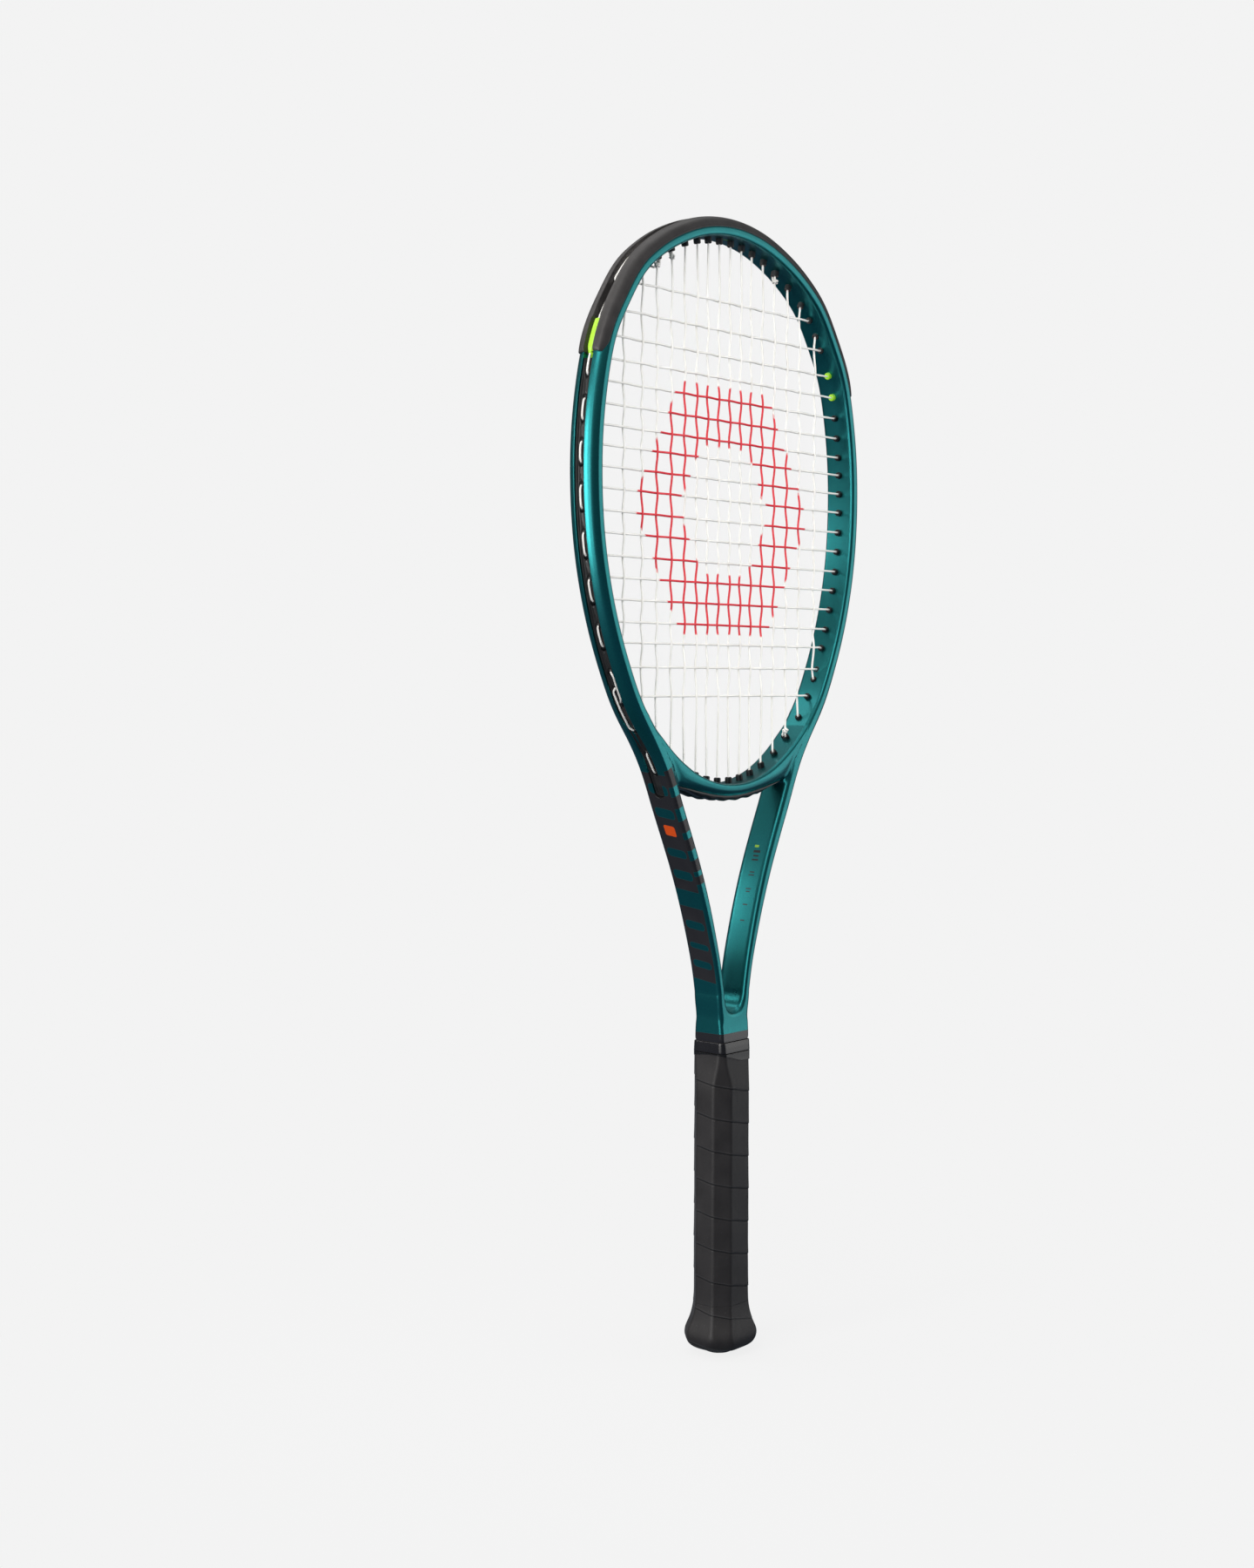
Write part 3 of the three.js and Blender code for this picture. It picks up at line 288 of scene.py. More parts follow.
class Build:
    """Collects closed shells into one mesh, each turned so that its normals point outwards."""

    def __init__(self):
        self.co, self.q, self.t, self.uv, self.m, self.n = [], [], [], [], [[], []], 0

    def add(self, co, quads=(), tris=(), uv=None, mat=0, closed=True):
        co = np.asarray(co, float)
        quads = np.asarray(quads, int).reshape(-1, 4)
        tris = np.asarray(tris, int).reshape(-1, 3)
        if closed and volume(co, quads, tris) < 0:
            quads, tris = quads[:, ::-1], tris[:, ::-1]
        self.co.append(co)
        self.q.append(quads + self.n)
        self.t.append(tris + self.n)
        self.uv.append(np.zeros((len(co), 2)) if uv is None else np.asarray(uv, float))
        self.m[0].append(np.full(len(quads), mat))
        self.m[1].append(np.full(len(tris), mat))
        self.n += len(co)

    def loft(self, rings, uv=None, closed=False, mat=0, caps=True, part=None):
        """rings (r, c, 3), closed round each ring, capped with a fan."""
        r, c = rings.shape[:2]
        co = rings.reshape(-1, 3)
        q = grid_quads(r, c, True, closed)
        t = []
        if uv is not None:
            uv = uv.reshape(-1, 2)
        if not closed and caps:
            mid = np.stack([rings[0].mean(0), rings[-1].mean(0)])
            a = np.arange(c)
            b = (a + 1) % c
            t = np.concatenate([np.stack([np.full(c, r * c), b, a], 1),
                                np.stack([np.full(c, r * c + 1), (r - 1) * c + a, (r - 1) * c + b], 1)])
            co = np.concatenate([co, mid])
            if uv is not None:
                uv = np.concatenate([uv, [uv[:c].mean(0)], [uv[-c:].mean(0)]])
        self.add(co, q, t, uv, mat)
        if part is not None:
            self.m[0][-1] = np.asarray(part).ravel()

    def revolve(self, origin, axis, profile, sides=20, squash=None, mat=0):
        """Turns a profile of (along, radius) round an axis; both its ends lie on the axis."""
        axis = unit(np.asarray(axis, float))
        ref = np.array([0, 1.0, 0]) if abs(axis[1]) < 0.9 else np.array([1.0, 0, 0])
        u = unit(np.cross(axis, ref))
        v = np.cross(axis, u)
        a = np.arange(sides) / sides * 2 * PI
        prof = np.asarray(profile, float)
        body = prof[1:-1]
        rings = (np.asarray(origin) + body[:, :1, None].reshape(-1, 1, 1) * axis
                 + body[:, 1].reshape(-1, 1, 1) * (np.cos(a)[None, :, None] * u + np.sin(a)[None, :, None] * v))
        co = rings.reshape(-1, 3)
        k = len(body)
        ends = np.stack([np.asarray(origin) + prof[0, 0] * axis, np.asarray(origin) + prof[-1, 0] * axis])
        b = (np.arange(sides) + 1) % sides
        c = np.arange(sides)
        t = np.concatenate([np.stack([np.full(sides, k * sides), b, c], 1),
                            np.stack([np.full(sides, k * sides + 1), (k - 1) * sides + c, (k - 1) * sides + b], 1)])
        self.add(np.concatenate([co, ends]), grid_quads(k, sides), t, mat=mat)

    def tube(self, path, radius, sides=10, mat=0, uv0=0.0):
        """Round bar along a dense path, rounded off at both ends."""
        P = np.asarray(path, float)
        T = unit(np.gradient(P, axis=0))
        R = np.broadcast_to(np.asarray(radius, float), (len(P),)).copy()
        n = np.zeros_like(P)
        up = np.array([0, 1.0, 0]) if abs(T[0][1]) < 0.9 else np.array([1.0, 0, 0])
        for i in range(len(P)):
            up = up - T[i] * (up @ T[i])
            up /= np.linalg.norm(up)
            n[i] = up
        b = np.cross(T, n)
        # rounded ends
        heads = []
        for e, sgn in ((0, -1), (-1, 1)):
            heads.append([(P[e] + T[e] * sgn * R[e] * d, R[e] * r) for d, r in ((0.5, 0.87), (0.87, 0.5), (0.98, 0.18))])
        a = np.arange(sides) / sides * 2 * PI
        ca, sa = np.cos(a)[None, :, None], np.sin(a)[None, :, None]
        rings = P[:, None] + R[:, None, None] * (ca * n[:, None] + sa * b[:, None])
        first = [p + r * (ca[0] * n[0] + sa[0] * b[0]) for p, r in heads[0][::-1]]
        last = [p + r * (ca[0] * n[-1] + sa[0] * b[-1]) for p, r in heads[1]]
        rings = np.concatenate([np.array(first), rings, np.array(last)])
        L = np.r_[0, np.cumsum(np.linalg.norm(np.diff(rings.mean(1), axis=0), axis=1))] + uv0
        uv = np.stack(np.broadcast_arrays(L[:, None], (a / (2 * PI))[None, :]), -1)
        self.loft(rings, uv=uv, mat=mat)

    def make(self, name, mats, body="racket", replaces=(), slot=None, custom=True):
        o = make_mesh(name, np.concatenate(self.co), np.concatenate(self.q), np.concatenate(self.t),
                      uv=np.concatenate(self.uv), mats=mats, custom=custom,
                      mat_index=np.concatenate([np.concatenate(self.m[0]), np.concatenate(self.m[1])]))
        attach(o, body)
        if replaces:
            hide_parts(*replaces)
        return o


def corner(A, C, B, t, k):
    """Rounds the corner C between A and B; t is how far back the rounding starts. Arrays (S, 2)."""
    la = np.linalg.norm(A - C, axis=1)
    lb = np.linalg.norm(B - C, axis=1)
    ta = np.minimum(t, 0.49 * la)[:, None]
    tb = np.minimum(t, 0.49 * lb)[:, None]
    p0 = C + unit(A - C) * ta
    p2 = C + unit(B - C) * tb
    q = np.linspace(0, 1, k + 1)[None, :, None]
    return (1 - q) ** 2 * p0[:, None] + 2 * q * (1 - q) * C[:, None] + q ** 2 * p2[:, None]


def outline(S, start, corners, end):
    """Half a section: start point, corners (n, y, t, steps), end point. Each number may be an array of S."""
    def pt(n, y):
        return np.stack([np.broadcast_to(np.asarray(n, float), (S,)), np.broadcast_to(np.asarray(y, float), (S,))], 1)
    pts = [pt(*start)] + [pt(c[0], c[1]) for c in corners] + [pt(*end)]
    out = []
    for i, c in enumerate(corners):
        t = np.broadcast_to(np.asarray(c[2], float), (S,))
        out.append(corner(pts[i], pts[i + 1], pts[i + 2], t, c[3]))
    return np.concatenate(out, 1)


def full_ring(half, n_in, n_out):
    """Section ring from its half (y > 0), with the mid points of the inner and the outer side."""
    S = len(half)
    z = np.zeros((S, 1))
    a = np.stack([np.broadcast_to(np.asarray(n_in, float).reshape(-1, 1), (S, 1)), z], -1)
    b = np.stack([np.broadcast_to(np.asarray(n_out, float).reshape(-1, 1), (S, 1)), z], -1)
    back = half[:, ::-1].copy()
    back[..., 1] *= -1
    return np.concatenate([a, half, b, back], 1)


# ------------------------------------------------------------------ materials
def new_mat(name):
    m = bpy.data.materials.new(name)
    m.use_nodes = True
    nt = m.node_tree
    nt.nodes.clear()
    out = nt.nodes.new("ShaderNodeOutputMaterial")
    bsdf = nt.nodes.new("ShaderNodeBsdfPrincipled")
    nt.links.new(bsdf.outputs[0], out.inputs[0])
    return m, nt, bsdf


class Nodes:
    """Short forms for building a node tree."""

    def __init__(self, nt):
        self.nt = nt

    def put(self, value, socket):
        if value is None:
            return
        if isinstance(value, bpy.types.NodeSocket):
            self.nt.links.new(value, socket)
        elif isinstance(value, (tuple, list)) and len(value) == 3 and len(socket.default_value) == 4:
            socket.default_value = (*value, 1)
        else:
            socket.default_value = value

    def math(self, op, a, b=None, c=None, clamp=False):
        n = self.nt.nodes.new("ShaderNodeMath")
        n.operation = op
        n.use_clamp = clamp
        for v, s in zip((a, b, c), n.inputs):
            self.put(v, s)
        return n.outputs[0]

    def add(self, a, b): return self.math("ADD", a, b)
    def sub(self, a, b): return self.math("SUBTRACT", a, b)
    def mul(self, a, b): return self.math("MULTIPLY", a, b)
    def mx(self, a, b): return self.math("MAXIMUM", a, b)
    def mn(self, a, b): return self.math("MINIMUM", a, b)
    def abs(self, a): return self.math("ABSOLUTE", a)

    def obj(self):
        n = self.nt.nodes.new("ShaderNodeTexCoord")
        return n.outputs["Object"]

    def uv(self):
        n = self.nt.nodes.new("ShaderNodeUVMap")
        n.uv_map = "Lay"
        return n.outputs[0]

    def xyz(self, v):
        n = self.nt.nodes.new("ShaderNodeSeparateXYZ")
        self.put(v, n.inputs[0])
        return n.outputs

    def vec(self, x, y, z):
        n = self.nt.nodes.new("ShaderNodeCombineXYZ")
        for v, s in zip((x, y, z), n.inputs):
            self.put(v, s)
        return n.outputs[0]

    def scale(self, v, k):
        n = self.nt.nodes.new("ShaderNodeVectorMath")
        n.operation = "MULTIPLY"
        self.put(v, n.inputs[0])
        n.inputs[1].default_value = k if isinstance(k, (tuple, list)) else (k, k, k)
        return n.outputs[0]

    def noise(self, v, scale, detail=2.0, rough=0.5, out="Fac"):
        n = self.nt.nodes.new("ShaderNodeTexNoise")
        self.put(v, n.inputs["Vector"])
        n.inputs["Scale"].default_value = scale
        n.inputs["Detail"].default_value = detail
        n.inputs["Roughness"].default_value = rough
        return n.outputs[out]

    def voronoi(self, v, scale, feature="F1", out="Distance"):
        n = self.nt.nodes.new("ShaderNodeTexVoronoi")
        n.feature = feature
        self.put(v, n.inputs["Vector"])
        n.inputs["Scale"].default_value = scale
        return n.outputs[out]

    def ramp(self, v, stops, interp="LINEAR"):
        n = self.nt.nodes.new("ShaderNodeValToRGB")
        n.color_ramp.interpolation = interp
        e = n.color_ramp.elements
        while len(e) < len(stops):
            e.new(0.5)
        for i, (p, c) in enumerate(stops):
            e[i].position = p
            e[i].color = (*c, 1) if len(c) == 3 else c
        self.put(v, n.inputs[0])
        return n.outputs[0]

    def remap(self, v, a, b, c=0.0, d=1.0, kind="LINEAR"):
        n = self.nt.nodes.new("ShaderNodeMapRange")
        n.interpolation_type = kind
        n.clamp = True
        self.put(v, n.inputs[0])
        for s, x in zip(list(n.inputs)[1:5], (a, b, c, d)):
            self.put(x, s)
        return n.outputs[0]

    def mix(self, f, a, b):
        n = self.nt.nodes.new("ShaderNodeMix")
        n.data_type = "RGBA"
        self.put(f, n.inputs[0])
        self.put(a, n.inputs[6])
        self.put(b, n.inputs[7])
        return n.outputs[2]

    def mixf(self, f, a, b):
        n = self.nt.nodes.new("ShaderNodeMix")
        n.data_type = "FLOAT"
        self.put(f, n.inputs[0])
        self.put(a, n.inputs[2])
        self.put(b, n.inputs[3])
        return n.outputs[0]

    def bump(self, h, strength=0.3, distance=0.0001, normal=None):
        n = self.nt.nodes.new("ShaderNodeBump")
        n.inputs["Strength"].default_value = strength
        n.inputs["Distance"].default_value = distance
        self.put(h, n.inputs["Height"])
        if normal is not None:
            self.put(normal, n.inputs["Normal"])
        return n.outputs[0]

    def box(self, x, y, cx, cy, hx, hy, r, soft):
        """1 inside a rounded box in the plane of x, y; soft is the width of its edge."""
        dx = self.sub(self.abs(self.sub(x, cx)), hx - r)
        dy = self.sub(self.abs(self.sub(y, cy)), hy - r)
        ox, oy = self.mx(dx, 0.0), self.mx(dy, 0.0)
        d = self.sub(self.add(self.math("SQRT", self.add(self.mul(ox, ox), self.mul(oy, oy))),
                              self.mn(self.mx(dx, dy), 0.0)), r)
        return self.remap(d, soft, -soft)


def setp(N, bsdf, **kw):
    names = {"color": "Base Color", "rough": "Roughness", "metal": "Metallic", "coat": "Coat Weight",
             "coat_rough": "Coat Roughness", "ior": "IOR", "spec": "Specular IOR Level", "normal": "Normal",
             "sheen": "Sheen Weight", "sheen_rough": "Sheen Roughness", "sss": "Subsurface Weight", "emit": "Emission Color",
             "emit_strength": "Emission Strength", "aniso": "Anisotropic", "trans": "Transmission Weight",
             "coat_normal": "Coat Normal", "tint": "Specular Tint"}
    for k, v in kw.items():
        N.put(v, bsdf.inputs[names[k]])


# ---- frame paint: satin metallic teal, with generic near-black bands
def paint_material():
    m, nt, b = new_mat("teal_satin_metallic")
    N = Nodes(nt)
    o = N.obj()
    x, y, z = N.xyz(N.scale(o, 1000.0))
    u, v, _ = N.xyz(N.uv())              # u: height along the arm in mm, v: way round the section, 0 inner mid to 1 outer mid; sign in x, y
    flake = N.noise(N.scale(o, 1.0), 2600.0, 2.0, 0.6)
    cloud = N.noise(o, 60.0, 3.0, 0.5)
    fine = N.noise(o, 9000.0, 1.0, 0.5)
    teal = N.mix(N.remap(flake, 0.35, 0.68), (0.006, 0.205, 0.225), (0.015, 0.325, 0.320))
    teal = N.mix(N.remap(cloud, 0.3, 0.7, 0.0, 0.18), teal, (0.010, 0.17, 0.22))
    # sides: +1 on the side that carries the bands (left arm seen from the front, right arm seen from the back)
    outer = N.math("GREATER_THAN", v, 0.60)              # past the outer edge of the front facet
    facing = N.math("LESS_THAN", N.mul(x, y), 0.0)       # x and y of unlike sign: bands only on the outer side there
    band_side = N.math("GREATER_THAN", N.mul(x, y), 0.0)
    wob = N.mul(N.sub(N.noise(o, 2500.0, 1.0), 0.5), 0.06)
    h = N.add(u, wob)
    soft = 0.14

    def span(a, b_, coord=h):
        c, d = (a + b_) / 2, abs(b_ - a) / 2
        return N.remap(N.sub(N.abs(N.sub(coord, c)), d), soft, -soft)

    across = N.mul(y, N.math("SIGN", x))                  # mm across the outer side, the same way on both arms
    # on the outer side: one dark field with slanted windows left open in it
    h = N.add(h, N.mul(across, 0.16))
    field = N.mx(span(*BANDS["upper"], h), span(*BANDS["lower"], h))
    for a, b_, cx, hx in BANDS["windows"]:
        w = N.box(across, h, cx, (a + b_) / 2, hx, abs(b_ - a) / 2, min(2.2, abs(b_ - a) / 2 - 0.05), soft)
        field = N.mn(field, N.sub(1.0, w))
    front = None
    for a, b_ in BANDS["front"]:
        f = span(a, b_, h)
        front = f if front is None else N.mx(front, f)
    front = N.mul(front, N.math("GREATER_THAN", v, BANDS["front_from"]))
    dark = N.mn(N.add(N.mul(field, outer), N.mul(N.mul(front, N.sub(1.0, outer)), band_side)), 1.0)
    dark = N.mul(dark, N.math("GREATER_THAN", N.sub(402.0, z), 0.0))
    # a plain orange tab in the dark field, and a lime tick inside the crown
    tab = N.box(across, h, BANDS["tab"][2], (BANDS["tab"][0] + BANDS["tab"][1]) / 2, BANDS["tab"][3],
                abs(BANDS["tab"][1] - BANDS["tab"][0]) / 2, 1.1, soft)
    tab = N.mul(N.mul(tab, outer), N.math("GREATER_THAN", 402.0, z))
    neck = N.remap(z, 196.9, 196.6)
    black = N.mx(dark, neck)
    col = N.mix(black, teal, N.mix(N.remap(cloud, 0.3, 0.7), (0.020, 0.019, 0.022), (0.030, 0.028, 0.031)))
    col = N.mix(tab, col, (0.95, 0.105, 0.006))
    tick = N.mul(N.box(x, z, 5.0 * 0, 673.0, 3.2, 1.5, 0.4, 0.1), N.box(y, v, 0.0, 0.0, 0.75, 0.3, 0.1, 0.05))
    col = N.mix(tick, col, (0.30, 0.85, 0.12))
    # tiny spec plate lines inside the right arm, plain bars in place of print
    inside = N.math("LESS_THAN", v, 0.17)
    right = N.math("GREATER_THAN", x, 0.0)
    bars = None
    for k, (zc, hw, hh) in enumerate(BANDS["bars"]):
        w = N.box(y, u, BANDS["bar_y"], zc, hw, hh, 0.15, 0.08)
        bars = w if bars is None else N.mx(bars, w)
    bars = N.mul(N.mul(bars, inside), right)
    col = N.mix(bars, col, (0.010, 0.012, 0.016))
    limebars = None
    for zc, hw, hh in BANDS["lime_bars"]:
        w = N.box(y, u, BANDS["bar_y"] + 1.0, zc, hw, hh, 0.15, 0.08)
        limebars = w if limebars is None else N.mx(limebars, w)
    limebars = N.mul(N.mul(limebars, inside), right)
    col = N.mix(limebars, col, (0.42, 0.80, 0.06))
    flat = N.mx(N.mx(black, tab), N.mx(bars, N.mx(limebars, tick)))
    rough = N.mixf(black, N.remap(cloud, 0.2, 0.8, 0.27, 0.32), N.remap(fine, 0.2, 0.8, 0.36, 0.44))
    rough = N.mixf(neck, rough, 0.22)
    orange_peel = N.noise(o, 420.0, 2.0, 0.5)
    nrm = N.bump(flake, 0.10, 0.00003)
    nrm = N.bump(orange_peel, 0.04, 0.0001, nrm)
    setp(N, b, color=col, metal=N.mixf(flat, 0.90, 0.0), rough=rough, coat=N.mixf(neck, 0.36, 0.8),
         coat_rough=N.mixf(neck, 0.33, 0.08), normal=nrm, spec=0.5)
    return m


def plastic(name, dark, light, rough, grain=2200.0, bump=0.18, coat=0.0, mottle=140.0, spec=0.5, dist=0.00004):
    m, nt, b = new_mat(name)
    N = Nodes(nt)
    o = N.obj()
    g = N.noise(o, grain, 3.0, 0.6)
    c = N.noise(o, mottle, 3.0, 0.55)
    edge = N.voronoi(o, grain * 0.8)
    col = N.mix(N.remap(c, 0.3, 0.7), dark, light)
    setp(N, b, color=col, rough=N.remap(g, 0.2, 0.8, rough - 0.06, rough + 0.07), coat=coat, coat_rough=0.2,
         normal=N.bump(N.add(g, N.mul(edge, 0.5)), bump, dist), spec=spec)
    return m


def string_material(name, main):
    m, nt, b = new_mat(name)
    N = Nodes(nt)
    o = N.obj()
    x, y, z = N.xyz(N.scale(o, 1000.0))
    u, v, _ = N.xyz(N.uv())
    # fine wound filaments
    tw = N.math("SINE", N.add(N.mul(u, 5.2), N.mul(v, 2 * PI * 6)))
    g = N.noise(o, 1500.0, 2.0, 0.5)
    c = N.noise(o, 45.0, 2.0, 0.5)
    white = N.mix(N.remap(c, 0.3, 0.7), (0.84, 0.815, 0.765), (0.93, 0.91, 0.87))
    # a generic stencil: one broad hexagonal ring
    cz = STENCIL[0]
    ragged = N.mul(N.sub(N.noise(N.scale(o, (1.0, 1.0, 1.0)), 260.0, 3.0, 0.6), 0.5), 3.0)
    X = N.abs(N.add(x, ragged))
    Z = N.abs(N.add(N.sub(z, cz), ragged))
    hexd = N.mx(N.add(N.mul(X, 0.8660), N.mul(Z, 0.5)), Z)
    ring = N.mul(N.remap(hexd, STENCIL[1] + 0.5, STENCIL[1] - 0.5), N.remap(hexd, STENCIL[2] - 0.5, STENCIL[2] + 0.5))
    ink = ring
    only = N.remap(N.sub(N.abs(y), 2.6), 0.3, -0.3)
    inside = N.remap(N.abs(x), 104.0, 102.0)
    ink = N.mul(N.mul(ink, only), inside)
    wear = N.noise(o, 3200.0, 2.0, 0.6)
    ink = N.mul(ink, N.remap(wear, 0.20, 0.30, 0.55, 1.0))
    red = N.mix(N.remap(g, 0.3, 0.7), (0.64, 0.006, 0.020), (0.82, 0.014, 0.036))
    setp(N, b, color=N.mix(ink, white, red), rough=N.mixf(ink, 0.33, 0.42), coat=N.mixf(ink, 0.25, 0.1), coat_rough=0.15,
         sss=0.06, normal=N.bump(N.add(tw, N.mul(g, 0.6)), 0.12, 0.00003))
    b.inputs["Subsurface Radius"].default_value = (0.0006, 0.0006, 0.0005)
    return m


def grip_material():
    m, nt, b = new_mat("grip_black_feel")
    N = Nodes(nt)
    o = N.obj()
    cells = N.voronoi(o, 1500.0)
    g = N.noise(o, 2600.0, 3.0, 0.6)
    c = N.noise(o, 55.0, 4.0, 0.6)
    streak = N.noise(N.scale(o, (1.0, 1.0, 0.22)), 420.0, 2.0, 0.5)
    col = N.mix(N.remap(c, 0.3, 0.72), (0.0235, 0.0208, 0.0212), (0.0360, 0.0325, 0.0330))
    speck = N.remap(N.noise(o, 900.0, 1.0, 0.5), 0.735, 0.775)
    col = N.mix(N.mul(speck, 0.35), col, (0.12, 0.12, 0.12))
    # the laps of the tape: a dark line in each seam, and a lighter lip just above it, a painted highlight where light
    # catches the proud lap
    x, y, z = N.xyz(N.scale(o, 1000.0))
    th = N.math("ARCTAN2", y, x)
    wave = N.mul(N.sub(N.noise(o, 120.0, 1.0), 0.5), 0.02)
    ph = N.math("FRACT", N.add(N.add(N.math("DIVIDE", N.sub(z, 160.0), PITCH), N.math("DIVIDE", N.sub(th, math.radians(300.8)), 2 * PI)), N.add(wave, 20.0)))
    edge = N.mul(N.mn(ph, N.sub(1.0, ph)), PITCH)
    col = N.mix(N.mul(N.remap(edge, 0.55, 0.12), 0.75), col, (0.004, 0.004, 0.004))
    # painted highlight: a lighter band just above each seam, where light catches the lap
    lip = N.mul(N.remap(N.abs(N.sub(N.mul(ph, PITCH), 0.85)), 0.42, 0.1), 0.5)
    col = N.mix(lip, col, (0.085, 0.082, 0.084))
    rough = N.remap(N.add(N.mul(c, 0.6), N.mul(streak, 0.4)), 0.25, 0.75, 0.44, 0.58)
    h = N.add(N.mul(cells, 0.7), N.mul(g, 0.5))
    setp(N, b, color=col, rough=rough, sheen=0.12, sheen_rough=0.5, spec=0.5,
         normal=N.bump(streak, 0.08, 0.0002, N.bump(h, 0.22, 0.00005)))
    return m


def simple_metal():
    m, nt, b = new_mat("staple_steel")
    N = Nodes(nt)
    o = N.obj()
    s = N.noise(N.scale(o, (8.0, 1.0, 1.0)), 900.0, 3.0, 0.6)
    setp(N, b, color=N.mix(s, (0.38, 0.38, 0.39), (0.62, 0.62, 0.63)), metal=1.0, rough=N.remap(s, 0.2, 0.8, 0.25, 0.42),
         normal=N.bump(s, 0.1, 0.00003))
    return m


def foam_material():
    m, nt, b = new_mat("pallet_foam")
    N = Nodes(nt)
    o = N.obj()
    c = N.voronoi(o, 1400.0)
    g = N.noise(o, 200.0, 3.0, 0.5)
    setp(N, b, color=N.mix(N.remap(g, 0.3, 0.7), (0.20, 0.20, 0.19), (0.30, 0.30, 0.28)), rough=0.85, normal=N.bump(c, 0.5, 0.0002))
    return m


# heights in mm of the generic bands on the arms; windows are (low, high, centre across, half width)
BANDS = {
    "upper": (359.0, 287.0), "lower": (276.5, 230.0),
    "windows": [(346.0, 352.0, 0.0, 6.8), (332.0, 337.5, 0.0, 6.8), (308.0, 313.0, 0.0, 6.8), (294.0, 299.5, 0.0, 6.8),
                (262.5, 267.5, 0.0, 6.8), (250.0, 253.5, 0.0, 6.8), (238.0, 242.5, 0.0, 6.8)],
    "front": [(362.0, 351.5), (345.8, 338.8), (331.5, 324.5), (320.5, 313.5), (307.5, 300.5), (297.5, 292.5)],
    "front_from": 0.24,
    "tab": (321.2, 327.4, 0.0, 3.9),
    "bars": [(304.0, 2.6, 0.75), (301.4, 2.0, 0.5), (299.0, 2.4, 0.5), (291.6, 1.8, 0.35), (289.8, 2.2, 0.35),
             (281.5, 2.0, 0.35), (279.8, 1.5, 0.35), (272.0, 1.8, 0.35), (262.5, 1.6, 0.35)],
    "lime_bars": [(307.2, 1.6, 0.7)],
    "bar_y": -0.6,
}
STENCIL = (511.0, 74.0, 38.0)          # centre height, outer and inner reach of the ring

mat_paint = paint_material()
mat_guard = plastic("guard_grey_matt", (0.064, 0.059, 0.058), (0.086, 0.080, 0.078), 0.44, grain=2600.0, bump=0.22)
mat_grommet = plastic("grommet_black", (0.010, 0.010, 0.011), (0.020, 0.020, 0.021), 0.36, grain=3000.0, bump=0.10, coat=0.15)
mat_strip = plastic("grommet_strip_satin", (0.020, 0.0195, 0.0195), (0.038, 0.037, 0.037), 0.32, grain=1400.0, bump=0.25, dist=0.0001)
# painted shade: near-black material for the dips round the holes in the strips
mat_hole = plastic("grommet_hole_shade", (0.0015, 0.0015, 0.0015), (0.003, 0.003, 0.003), 0.8, grain=2500.0, bump=0.1, spec=0.1)
mat_lime = plastic("grommet_lime", (0.50, 0.90, 0.045), (0.58, 0.98, 0.070), 0.32, grain=2500.0, bump=0.06, coat=0.3)
lime_bsdf = next(n for n in mat_lime.node_tree.nodes if n.type == "BSDF_PRINCIPLED")
# painted glow: emission makes the lime plastic shine brighter than the lamps alone light it
lime_bsdf.inputs["Emission Color"].default_value = (0.40, 0.85, 0.04, 1)      # painted glow, standing in for the brightness of the fluorescent plastic
lime_bsdf.inputs["Emission Strength"].default_value = 0.28
mat_main = string_material("string_main", True)
mat_cross = string_material("string_cross", False)
mat_grip = grip_material()
mat_tape = plastic("finishing_tape_gloss", (0.011, 0.011, 0.012), (0.016, 0.016, 0.017), 0.26, grain=1800.0, bump=0.08, coat=0.3)
mat_collar = plastic("collar_rubber", (0.014, 0.013, 0.015), (0.021, 0.020, 0.023), 0.24, grain=1500.0, bump=0.06, coat=0.55)
mat_cap = plastic("butt_cap_moulded", (0.012, 0.012, 0.013), (0.020, 0.020, 0.021), 0.45, grain=2400.0, bump=0.2)
mat_badge = plastic("badge_plain", (0.055, 0.055, 0.060), (0.080, 0.080, 0.085), 0.30, grain=2000.0, bump=0.06, coat=0.5)
mat_steel = simple_metal()
mat_foam = foam_material()


# ------------------------------------------------------------------ frame: hairpin tube
def hairpin_half_section(s, w, groove_half, groove_depth, m):
    S = len(s)
    r_in = lerp(2.6, 4.0, m)
    c2 = (lerp(4.9, w - 1.52, m), H, lerp(0.75, 1.08, m), 4)
    c3 = (lerp(w - 2.3, w, m), lerp(8.65, H - 1.52, m), lerp(1.5, 1.08, m), 5)
    c3b = (lerp(w - 0.68, w, m), lerp(6.3, H - 3.4, m), lerp(1.4, 0.4, m), 4)
    c4 = (w, groove_half, 0.45, 4)
    c5 = (w - groove_depth, np.minimum(groove_half, 3.5), 0.3, 2)
    return outline(S, (0, 0), [(0, H, r_in, 6), c2, c3, c3b, c4, c5], (w - groove_depth, 0))


